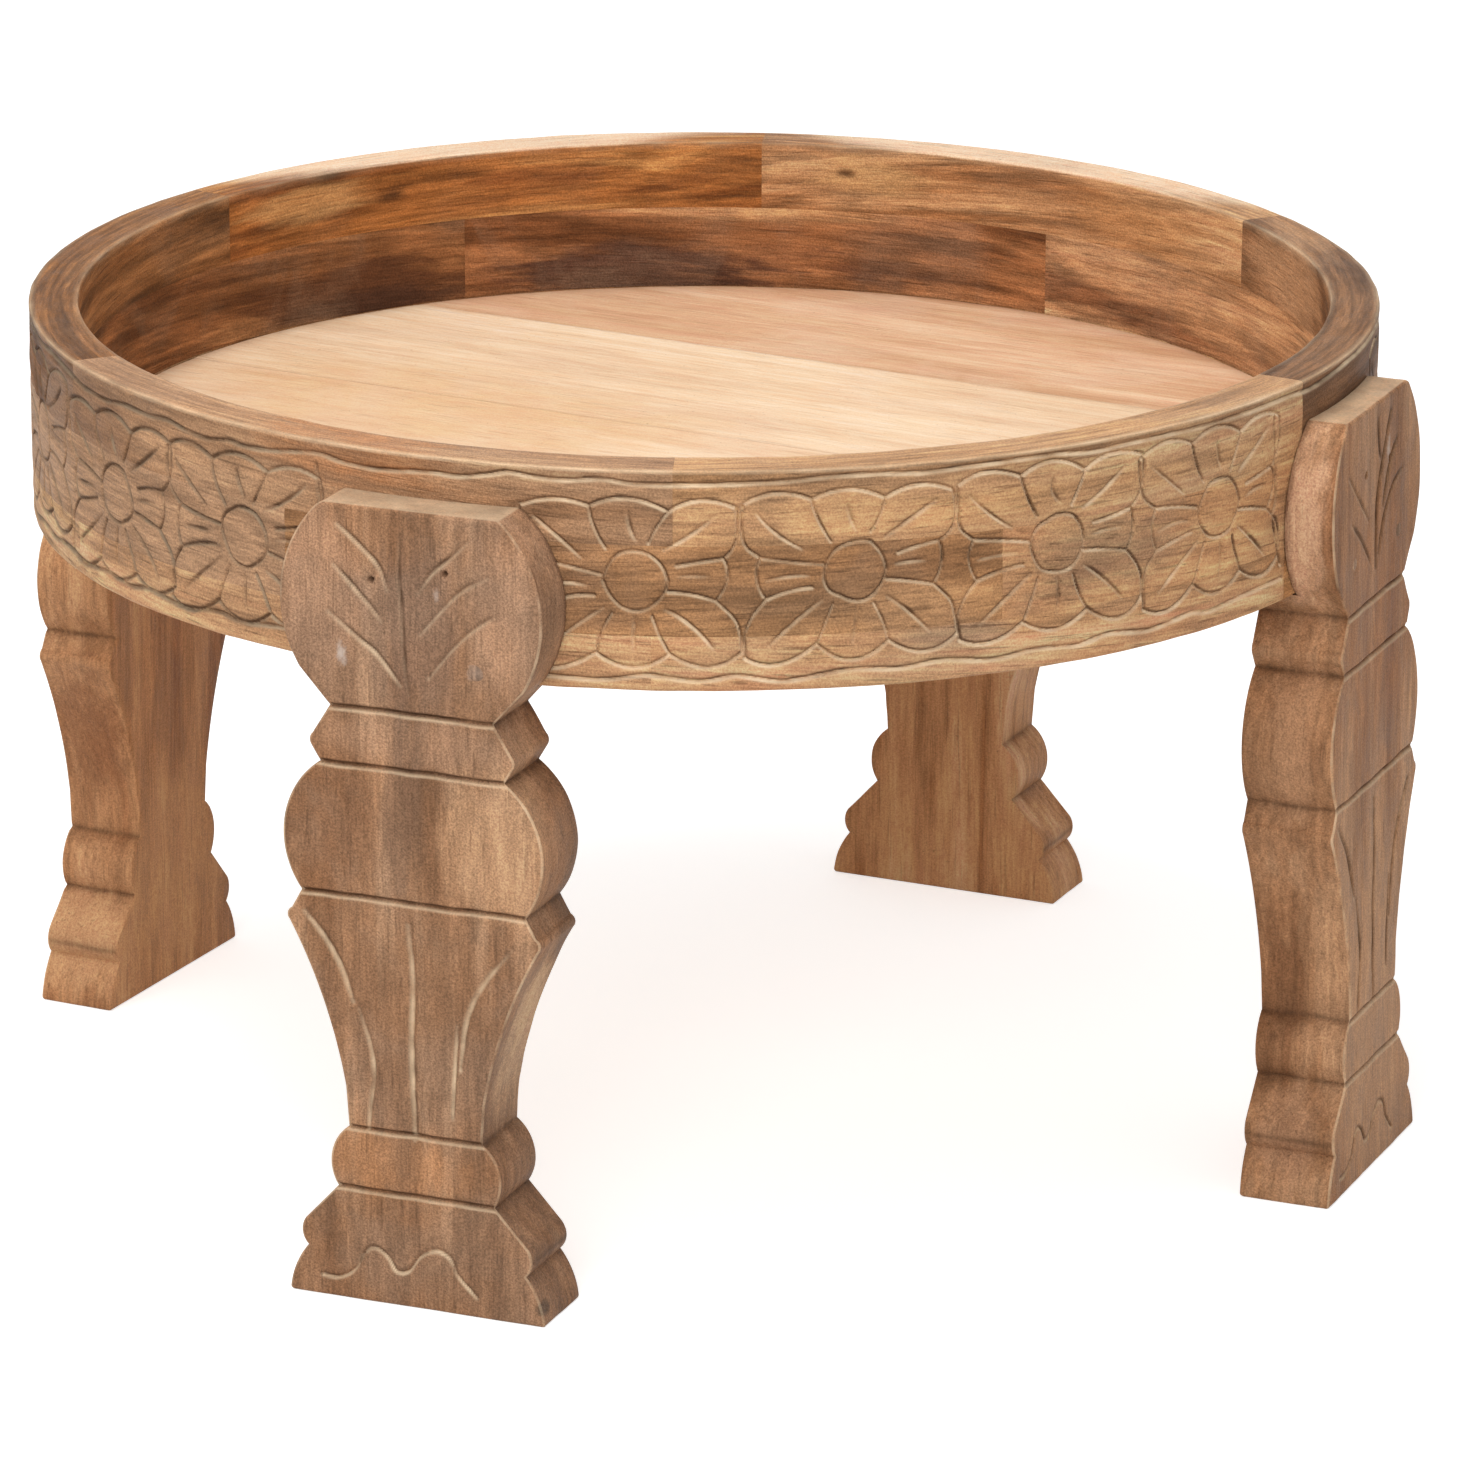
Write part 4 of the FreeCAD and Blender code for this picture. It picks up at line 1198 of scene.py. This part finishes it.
@dataclass
class Leg:
    """One leg: a thick plank cut to an outline and carved on its face. Sizes in millimetres."""

    shop: MaterialShop
    side: str
    angle: float
    foot_proud: float
    head_proud: float
    thickness: float
    finish: WoodFinish
    strokes: tuple[Stroke, ...]
    seed: int
    half_width: float = 64.0
    height: float = LEG_HEIGHT
    seat: float = RIM_RADIUS + 0.3
    arris: float = 1.3
    groove_width: float = 3.6
    groove_depth: float = 2.4
    smears: tuple[tuple[float, float, float, float], ...] = ()
    nails: tuple[Point, ...] = ((-18.0, 349.0), (18.0, 349.0))

    NECKS = (0.1442, 0.2224, 0.5158, 0.6803, 0.7513)
    FOOT_CREASE = 0.079
    PILLOW = 0.3
    # Pale lines under the neck grooves (rubbed wax and painted highlight), on the arrises (rubbed
    # by handling) and over the head's top face (painted highlight).
    NECK_RUB, ARRIS_RUB, TOP_RUB = 0.55, 0.42, 0.34
    FACE_POINTS, SIDE_POINTS, BACK_POINTS = 134, 9, 22
    OUTLINE = (
        (1.000, 0.0000, 0.078), (0.852, 0.0618, 0.185), (0.872, 0.0961, 0.000),
        (0.609, NECKS[0], 0.202), (0.519, NECKS[1], 0.000), (0.541, 0.2737, -0.041),
        (0.964, 0.4755, 0.261), (0.945, 0.4913, 0.000), (0.864, NECKS[2], 0.213),
        (0.706, NECKS[3], 0.000), (0.777, 0.6997, 0.182), (0.764, 0.7139, 0.000),
        (0.625, NECKS[4], 0.000), (0.859, 0.7947, 0.178), (0.6875, 1.0000, 0.000),
    )

    def face_at(self, up: float) -> float:
        """How far from the table's axis the plain face stands at a height."""
        inset = self.foot_proud - self.head_proud
        return RIM_RADIUS + self.foot_proud - inset * up / self.height

    def _side_line(self, step: float) -> np.ndarray:
        """Follow the outline up one side of the plank.

        Args:
            step: About how far the points lie apart.

        Returns:
            Half width and height of each point.
        """
        corners = [(width * self.half_width, rise * self.height, bow)
                   for width, rise, bow in self.OUTLINE]
        line: list[np.ndarray] = []
        for (x0, z0, bow), (x1, z1, _) in zip(corners, corners[1:]):
            chord = math.hypot(x1 - x0, z1 - z0)
            count = max(int(round(chord / step)), 3)
            share = np.linspace(0.0, 1.0, count, endpoint=False)
            if bow == 0.0:
                line.append(np.stack([x0 + (x1 - x0) * share, z0 + (z1 - z0) * share], -1))
                continue
            radius = chord * (1.0 + 4.0 * bow * bow) / (8.0 * abs(bow))
            sweep = 2.0 * math.asin(min(chord / (2.0 * radius), 1.0))
            turn = (share - 0.5) * sweep
            along = radius * np.sin(turn) + chord / 2.0
            out = (radius * np.cos(turn) - radius * math.cos(sweep / 2.0)) * math.copysign(1, bow)
            ux, uz = (x1 - x0) / chord, (z1 - z0) / chord
            line.append(np.stack([x0 + ux * along + uz * out, z0 + uz * along - ux * out], -1))
        line.append(np.array([corners[-1][:2]]))
        return np.vstack(line)

    def _rows(self) -> np.ndarray:
        """Half width and height of every ring, close together at grooves and ends."""
        line = self._side_line(0.85)
        heights = list(line[:, 1])
        for share in self.NECKS:
            heights += [share * self.height + step
                        for step in (-1.8, -1.2, -0.6, 0.0, 0.6, 1.2, 1.8)]
        heights += [RIM_BOTTOM - 0.05, RIM_BOTTOM + 0.05]
        heights += [0.15, 0.6, 1.2, self.height - 0.25, self.height - 0.8, self.height - 1.6]
        up = np.unique(np.round(heights, 3))
        up = up[np.concatenate([[True], np.diff(up) > 0.09])]
        return np.stack([np.interp(up, line[:, 1], line[:, 0]), up], -1)

    def _ring(self, half: float, up: float) -> tuple[np.ndarray, np.ndarray, np.ndarray]:
        """One level section of the plank, before carving.

        Args:
            half: Half of its width.
            up: Its height.

        Returns:
            Place of each point out from the axis and across, and how far it is a point of
            the carved face, from 0 to 1.
        """
        ease, strip = self.arris, 0.6
        end_gap = min(up, self.height - up)
        inset = 0.0
        if end_gap < 2.0:
            inset = 1.6 * (1.0 - math.sqrt(max(1.0 - ((2.0 - end_gap) / 2.0) ** 2, 0.0)))
        face = self.face_at(up) - inset
        half = half - inset
        seated = up > RIM_BOTTOM
        across = np.linspace(-half + ease, half - ease, self.FACE_POINTS)
        turn = np.radians(np.linspace(0.0, 90.0, 7)[1:-1])
        right = half - ease + ease * np.sin(turn)
        corner = face - ease + ease * np.cos(turn)
        back_edge = face - self.thickness + 2.0 * inset
        if seated:
            back_edge = math.sqrt(max(self.seat ** 2 - half ** 2, 0.0))
        depth = np.linspace(face - ease, back_edge + strip, self.SIDE_POINTS)
        back = np.linspace(half - strip, -half + strip, self.BACK_POINTS)[1:-1]
        hollow = np.sqrt(self.seat ** 2 - back ** 2) if seated else back * 0.0 + back_edge
        level = np.ones_like(depth) * half
        out = np.concatenate([across * 0.0 + face, corner, depth, [back_edge], hollow,
                              [back_edge], depth[::-1], corner[::-1]])
        over = np.concatenate([across, right, level, [half - strip], back,
                               [-half + strip], -level, -right[::-1]])
        weight = np.zeros(out.shape)
        weight[:len(across)] = 1.0
        fade = np.linspace(0.9, 0.1, len(right))
        weight[len(across):len(across) + len(right)] = fade
        weight[-len(right):] = fade[::-1]
        return out, over, weight

    def _pits(self, across: np.ndarray, up: np.ndarray) -> tuple[np.ndarray, np.ndarray,
                                                                 np.ndarray]:
        """Mark the nail pits and the wiped filler spots.

        Args:
            across: Place of each point across the leg.
            up: Height of each point.

        Returns:
            Depth, pale mask and dark mask.
        """
        sink, pale, dark = (np.zeros(across.shape) for _ in range(3))
        for x, z in self.nails:
            gap = np.hypot(across - x, up - z)
            sink = np.maximum(sink, 3.3 * np.clip(1.8 - gap, 0.0, 1.0))
            dark = np.maximum(dark, np.clip(1.7 - gap, 0.0, 1.0))
        for number, (x, z, reach, strength) in enumerate(self.smears):
            uneven = ripple(across, up, self.seed + number, 9.0)
            gap = np.hypot((across - x) * 1.7, (up - z) * 0.8) + 0.3 * reach * uneven
            pale = np.maximum(pale, strength * np.clip(1.25 * (1.0 - gap / reach), 0.0, 1.0))
        return sink, pale, dark

    def _carve(self, over: np.ndarray, up: np.ndarray, weight: np.ndarray,
               carved: int) -> dict[str, np.ndarray]:
        """Carve the cuts, the pits and the grooves.

        Args:
            over: Place of each point across the leg.
            up: Height of each point.
            weight: How far each is a point of the carved face.
            carved: How many points of a ring lie flat on the face.

        Returns:
            The depth as "sink", and the painted masks by name.
        """
        face = (slice(None), slice(0, carved))
        panel = CarvedPanel(list(self.strokes))
        relief = panel.relief(over[face], up[face], self.PILLOW, self.seed)
        pit, pale, dark = self._pits(over[face], up[face])
        sink, rub_and_highlight, shade, chalk = (np.zeros_like(over) for _ in range(4))
        sink[face] = np.maximum(relief.sink, pit)
        rub_and_highlight[face] = relief.rub_and_highlight * (1.0 - dark) * (1.0 - pale)
        shade[face] = np.maximum(relief.shade, dark)
        chalk[face] = pale
        for share in self.NECKS:
            gap = up - share * self.height - 0.25 * ripple(over, up, self.seed, 80.0)
            notch = np.clip(1.0 - np.abs(gap) / (self.groove_width / 2.0), 0.0, 1.0)
            sink = np.maximum(sink, self.groove_depth * notch * np.clip(weight * 1.3, 0.0, 1.0))
            # Painted shade on the upper flank of each neck groove, which faces down, and a pale
            # line under it: rubbed wax and painted highlight where the lower flank faces the light
            # above.
            shade = np.maximum(shade, np.clip(1.0 - np.abs(gap - 0.5) / 1.3, 0, 1) * weight)
            pale = self.NECK_RUB * np.clip(1.0 - np.abs(gap + 1.5), 0, 1)
            rub_and_highlight = np.maximum(rub_and_highlight, pale * weight)
        sink = sink * weight + 0.15 * weight * (1.0 + ripple(over, up, self.seed + 3, 75.0))
        return {"sink": sink, "rub_and_highlight": rub_and_highlight, "shade": shade, "chalk": chalk}

    def build(self) -> None:
        """Shape, carve and dress the leg."""
        name = f"leg_{self.side}"
        rows = self._rows()
        out, over, weight = (
            np.array(part) for part in zip(*(self._ring(half, up) for half, up in rows)))
        up = rows[:, 1][:, None] + np.zeros_like(out)
        carved = int((weight[len(rows) // 2] == 1.0).sum())
        masks = self._carve(over, up, weight, carved)
        sink, rub_and_highlight, shade = masks.pop("sink"), masks["rub_and_highlight"], masks["shade"]
        plain = weight == 0.0
        sides = plain & (np.abs(over) > np.abs(over).max(1, keepdims=True) - 0.1)
        # Painted shade: the plain sides darken in the creases at the foot and the necks, and more
        # softly round them.
        for share in (self.FOOT_CREASE, *self.NECKS):
            gap = np.abs(up - share * self.height - 0.5 * ripple(out, up, self.seed + 6, 50.0))
            crease = 0.34 * np.exp(-(gap / 1.3) ** 2) + 0.3 * np.exp(-gap / 6.0)
            shade = np.maximum(shade, np.where(sides, crease, 0.0))
        gap = out - np.sqrt(np.maximum(self.seat ** 2 - over ** 2, 0.0))
        held = plain & (up > RIM_BOTTOM)
        shade = np.maximum(shade, np.where(held, 0.6 * np.exp(-(gap / 1.5) ** 2), 0.0))
        sway = 0.18 * (1.0 + ripple(out, up, self.seed + 9, 60.0))
        over = over - np.sign(over) * sway * sides
        broken_up = 0.5 + 0.5 * ripple(over * 0.3, up, self.seed + 5, 70.0)
        corner = (weight > 0.05) & (weight < 0.95)
        rub_and_highlight = np.maximum(rub_and_highlight, np.where(corner, self.ARRIS_RUB * broken_up, 0.0))
        # Painted highlight: the whole top face of the head is made paler, as light from above
        # falls on it.
        rub_and_highlight[-1] = self.TOP_RUB
        points = turned(out - sink, over, up, math.radians(self.angle))
        piece = loft(name, points, {**masks, "rub_and_highlight": rub_and_highlight, "shade": shade})
        material = self.shop.wood(f"{name}_wood", self.finish, Grain.UPRIGHT, self.angle,
                                  self.seed)
        settle(piece, material, name)


@dataclass
class LegSet:
    """The four legs, each with its own cuts and its own wood.

    Each side has its angle in degrees, how far foot and head stand proud, and its thickness.
    """

    shop: MaterialShop
    sides: tuple[tuple[str, float, float, float, float], ...] = (
        ("right", 1.0, 25.0, 17.5, 45.0), ("back", 89.2, 17.5, 17.5, 41.0),
        ("left", 177.7, 20.0, 14.2, 41.0), ("front", 272.0, 22.5, 22.5, 41.0),
    )

    FRONT_VEINS = (
        Stroke(((-4, 369), (-5, 352), (-4, 336), (-3, 315), (-1, 295)), 1.7, 0.8, True, 0.5),
        Stroke(((-35, 371), (-23, 361), (-15, 353), (-11, 343)), 2.2, 1.2, True),
        Stroke(((-37, 352), (-27, 342), (-20, 335), (-14, 328)), 2.2, 1.2, True),
        Stroke(((-40, 330), (-26, 319), (-16, 312), (-5, 299)), 2.4, 1.2, True),
        Stroke(((28, 369), (19, 360), (11, 353), (4, 343)), 2.2, 1.1, True),
        Stroke(((38, 354), (25, 346), (17, 338), (5, 324)), 2.2, 1.1, True),
        Stroke(((41, 336), (30, 328), (20, 318), (9, 304)), 2.2, 1.1, True),
    )
    SIDE_VEINS = (
        Stroke(((19, 371), (9, 353), (-1, 331), (-2, 300)), 3.4, 1.5, True, 0.9),
        Stroke(((0, 372), (1, 362), (4, 352)), 2.8, 1.1, True, 0.8),
        Stroke(((28, 355), (17, 344), (8, 328)), 3.2, 1.4, True, 0.85),
        Stroke(((36, 339), (14, 327), (2, 306)), 3.2, 1.4, True, 0.85),
        Stroke(((-41, 353), (-27, 340), (-13, 326)), 2.2, 1.0, True, 0.3),
        Stroke(((-37, 330), (-21, 317), (-10, 304)), 2.2, 1.0, True, 0.35),
    )
    FLUTES = (
        Stroke(((-53, 186), (-42, 173), (-35, 160), (-30, 146)), 3.2, 1.3, True, bright=1.2),
        Stroke(((-27, 143), (-22, 127), (-20, 114), (-22, 96), (-23, 84)), 2.6, 1.1, True,
               bright=1.2),
        Stroke(((-2, 186), (0, 160), (-1, 128), (0, 94), (0, 83)), 3.0, 1.4, True, bright=1.2),
        Stroke(((49, 181), (35, 163), (27, 145), (23, 120)), 3.0, 1.4, True, bright=1.2),
        Stroke(((22, 141), (20, 113), (19, 96)), 2.3, 1.0, True, bright=1.2),
    )
    FOOT_LINE = (
        Stroke(((-47, 10), (-39, 10), (-31, 15), (-25, 25), (-20, 27), (-14, 23), (-10, 17),
                (-4, 18), (2, 26), (10, 30), (17, 27), (21, 19), (30, 10)), 1.9, 1.0, bright=1.0),
    )
    SMEARS = {
        "front": ((-33.5, 310.0, 5.2, 0.85), (29.5, 308.5, 3.2, 0.5), (13.0, 343.0, 3.0, 0.45)),
        "right": ((16.0, 353.0, 6.0, 0.6),),
    }
    NAILS = {"front": ((-19.0, 346.5), (17.0, 353.0))}
    PLAIN = {"grey": (150, 122, 100), "grey_share": 0.45, "streaks": 0.1, "rings": 0.08,
             "clouds": 0.18, "grit": 0.3, "fibre": 0.11, "pores": 0.24}
    WOODS = {
        "front": toned(
            (135, 97, 69), (160, 118, 86), (180, 139, 106),
            (347, -45, 340, 30, 24, 50, 190, 146, 114, 0.7),
            (347, 45, 340, 30, 22, 50, 192, 149, 117, 0.7),
            (347, 2, 325, 30, 26, 50, 142, 113, 94, 0.5),
            (347, 0, 272, 12, 60, 14, 190, 150, 120, 0.4),
            (347, -40, 230, 40, 30, 45, 136, 93, 62, 0.7),
            (347, 40, 230, 30, 30, 40, 202, 158, 120, 0.75),
            (320, 42, 140, 25, 18, 60, 220, 180, 142, 0.85),
            # Painted light: these two patches make the leg's right side paler, standing in for
            # light that falls on it.
            (325, 60, 340, 20, 16, 45, 188, 146, 114, 0.6),
            (325, 64, 228, 20, 16, 35, 178, 130, 94, 0.55),
            (347, -2, 145, 12, 45, 45, 140, 102, 74, 0.55),
            (347, -5, 235, 30, 12, 50, 124, 97, 78, 0.5),
            (347, -10, 70, 30, 40, 20, 186, 132, 90, 0.6),
            (347, 62.5, 9, 12, 4, 4, 52, 34, 22, 0.9), **PLAIN),
        # Painted light: the back and left legs stand in shade under the table, so their wood is
        # made paler than the front leg's to make up for it.
        "back": toned(
            (168, 115, 76), (205, 152, 107), (224, 174, 130),
            **{**PLAIN, "grey": (178, 138, 106), "grey_share": 0.2, "clouds": 0.12, "grit": 0.2}),
        "left": toned(
            (157, 107, 72), (186, 134, 93), (208, 156, 112),
            (330, 55, 35, 40, 30, 35, 214, 164, 120, 0.8),
            (325, 50, 130, 30, 22, 60, 148, 98, 65, 0.75),
            (301, 0, 50, 9, 80, 70, 208, 156, 110, 0.6),
            **{**PLAIN, "grey": (168, 128, 98), "grey_share": 0.15, "clouds": 0.12,
               "grit": 0.22}),
        "right": toned(
            (142, 99, 68), (166, 121, 86), (184, 140, 104),
            (352, 0, 280, 13, 90, 120, 154, 100, 62, 0.6, 0.3),
            (352, 0, 80, 13, 90, 120, 190, 146, 110, 0.65, 0.3),
            (325, -55, 30, 17, 30, 30, 176, 134, 104, 0.5),
            (325, -50, 335, 17, 30, 50, 226, 180, 144, 0.75),
            (325, -50, 225, 17, 30, 50, 190, 144, 108, 0.6),
            **{**PLAIN, "grey_share": 0.08, "grit": 0.24}),
    }

    def build(self) -> None:
        """Build all four legs."""
        for number, (side, angle, foot, head, thickness) in enumerate(self.sides, start=1):
            cuts = self.FRONT_VEINS + self.FLUTES + self.FOOT_LINE
            if side in ("left", "right"):
                filled = tuple(replace(cut, dirt_and_shade=0.5) for cut in self.FLUTES + self.FOOT_LINE)
                cuts = self.SIDE_VEINS + filled
            Leg(self.shop, side, angle, foot, head, thickness, self.WOODS[side], cuts,
                60 + number, smears=self.SMEARS.get(side, ()),
                nails=self.NAILS.get(side, Leg.nails)).build()


@dataclass
class Fasteners:
    """Plugs, screws and nails in the heads of the legs. Sizes in millimetres."""

    shop: MaterialShop
    legs: LegSet
    offset: float = 32.0
    height: float = 309.0
    radius: float = 4.35
    length: float = 6.0

    STEELS = {"leg_screws": SteelFinish(), "leg_nails": SteelFinish((58, 48, 42), 0.6, 0.7)}

    def _plug(self, angle: float, face: float, across: float, seed: int) -> np.ndarray:
        """Shape one plug with its slightly domed, uneven end.

        Args:
            angle: Angle of its leg, in degrees.
            face: How far out the leg's face stands.
            across: Its place across the leg.
            seed: Which unevenness.

        Returns:
            Its rings of points.
        """
        turn = np.linspace(0.0, 2.0 * math.pi, 28, endpoint=False)
        uneven = 1.0 + 0.02 * np.sin(3.0 * turn + seed)
        rings = []
        for share, depth in ((0.96, self.length), (1.0, self.length - 0.4), (1.0, 0.35),
                             (0.9, 0.02), (0.55, -0.1), (0.2, -0.14)):
            reach = self.radius * share * uneven
            rings.append(turned(face - 0.25 - depth, across + reach * np.cos(turn),
                                self.height + reach * np.sin(turn), math.radians(angle)))
        return np.array(rings)

    def build(self) -> None:
        """Build the plugs as one piece and dress the screws and nails."""
        plugs = []
        for number, (side, angle, foot, head, _) in enumerate(self.legs.sides):
            face = RIM_RADIUS + foot - (foot - head) * self.height / LEG_HEIGHT
            for across in (-self.offset, self.offset):
                points = self._plug(angle, face, across, number)
                rings, around = points.shape[:2]
                chalk = 0.1 if side != "front" else 0.75 if across < 0.0 else 0.4
                middle = np.linspace(0.0, chalk, rings)[:, None] ** 2
                masks = {"chalk": middle + np.zeros((rings, around))}
                plugs.append(loft(f"plug_{side}_{len(plugs)}", points, masks))
        whole = plugs[0]
        with bpy.context.temp_override(active_object=whole, selected_editable_objects=plugs):
            bpy.ops.object.join()
        whole.name = "plug_ends"
        filler = toned((136, 104, 80), (162, 126, 100), (180, 146, 118), grey=(168, 144, 124),
                       grey_share=0.5, roughness=0.7)
        settle(whole, self.shop.wood("plug_filler", filler, Grain.UPRIGHT, 0.0, 90),
               "screw_plugs")
        for node, finish in self.STEELS.items():
            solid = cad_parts[node]
            material = self.shop.steel(f"{node}_steel", finish)
            if not solid.material_slots:
                solid.data.materials.append(material)
            for slot in solid.material_slots:
                slot.material = material
            LOG.info("%s: dressed", node)


@dataclass
class Studio:
    """Pale seamless floor, soft light and the camera. Lengths in metres."""

    focal_length: float = 191.16
    place: Place = (1.4843, -3.3092, 1.3371)
    azimuth: float = 23.95
    elevation: float = 17.76
    roll: float = 0.15
    floor_radius: float = 14.0
    floor_glow: float = 0.61
    room_light: float = 0.54
    lamp_target: Place = (0.0, 0.0, 0.25)

    WHITE = (1.0, 1.0, 1.0, 1.0)

    def build_camera(self) -> None:
        """Set the camera at the photograph's viewing angle."""
        data = bpy.data.cameras.new("camera")
        data.lens = self.focal_length
        data.sensor_width = 36.0
        data.clip_end = 60.0
        camera = link("camera", data)
        az, el, roll = (math.radians(a) for a in (self.azimuth, self.elevation, self.roll))
        back = Vector((math.sin(az) * math.cos(el), -math.cos(az) * math.cos(el), math.sin(el)))
        right = Vector((math.cos(az), math.sin(az), 0.0))
        up = back.cross(right)
        across = right * math.cos(roll) + up * math.sin(roll)
        above = up * math.cos(roll) - right * math.sin(roll)
        turn = Matrix((across, above, back)).transposed().to_4x4()
        camera.matrix_world = Matrix.Translation(self.place) @ turn
        bpy.context.scene.camera = camera

    def build_floor(self) -> None:
        """Lay the floor: white to the eye, with the table's soft shadow on it."""
        sides = 64
        mesh = bpy.data.meshes.new("floor")
        turns = [2.0 * math.pi * step / sides for step in range(sides)]
        mesh.from_pydata([(self.floor_radius * math.cos(a), self.floor_radius * math.sin(a), 0.0)
                          for a in turns], [], [tuple(range(sides))])
        floor = link("floor", mesh)
        material = bpy.data.materials.new("floor_paper")
        material.use_nodes = True
        graph = Graph(material.node_tree)
        place = graph.add("TexCoord").outputs["Object"]
        fibre = graph.span(graph.noise(place, 300.0, 3.0, 0.6), 0.3, 0.7)
        tone = graph.mix(fibre, (0.80, 0.80, 0.80, 1.0), (0.83, 0.83, 0.83, 1.0))
        paper = graph.fill(graph.add("BsdfDiffuse"), Color=tone)
        glow = graph.fill(graph.add("Emission"), Color=self.WHITE,
                          Strength=graph.times(graph.seen(), self.floor_glow))
        both = graph.add("AddShader")
        shown = graph.add("MixShader")
        hidden = graph.add("NewGeometry").outputs["Backfacing"]
        clear = graph.add("BsdfTransparent").outputs[0]
        for node, values in ((both, (paper.outputs[0], glow.outputs[0])),
                             (shown, (hidden, both.outputs[0], clear))):
            for socket, value in zip(node.inputs, values):
                graph.feed(socket, value)
        graph.fill(graph.add("OutputMaterial"), Surface=shown.outputs[0])
        mesh.materials.append(material)

    def build_world(self) -> None:
        """Soft light from all round, white where it is seen."""
        world = bpy.data.worlds.new("soft_room")
        world.use_nodes = True
        graph = Graph(world.node_tree)
        light = graph.plus(graph.times(graph.seen(), 1.0 - self.room_light), self.room_light)
        room = graph.fill(graph.add("Background"), Color=self.WHITE, Strength=light)
        graph.fill(graph.add("OutputWorld"), Surface=room.outputs[0])
        bpy.context.scene.world = world

    def build_lamp(self, name: str, place: Place, size: float, power: float) -> None:
        """Hang one soft lamp that looks at the middle of the table.

        Args:
            name: Name of the lamp.
            place: Where it hangs.
            size: Side of its square face.
            power: Its power in watts.
        """
        data = bpy.data.lights.new(name, "AREA")
        data.energy = power
        data.size = size
        aim = Vector(self.lamp_target) - Vector(place)
        link(name, data).matrix_world = (Matrix.Translation(place)
                                         @ aim.to_track_quat("-Z", "Y").to_matrix().to_4x4())

    def build(self) -> None:
        """Set up floor, light and camera."""
        self.build_camera()
        self.build_floor()
        self.build_world()
        self.build_lamp("top_soft_box", (-0.2, -0.6, 2.6), 1.2, 31.0)
        self.build_lamp("front_soft_box", (0.8, -3.0, 1.8), 1.5, 37.0)


def main() -> None:
    """Build the table and its studio."""
    logging.basicConfig(level=logging.INFO, format="%(name)s: %(message)s")
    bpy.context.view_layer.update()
    bpy.context.scene.view_settings.view_transform = "Standard"
    shop = MaterialShop()
    legs = LegSet(shop)
    Rim(shop).build()
    TrayFloor(shop).build()
    legs.build()
    Fasteners(shop, legs).build()
    Studio().build()


if __name__ == "__main__":
    main()
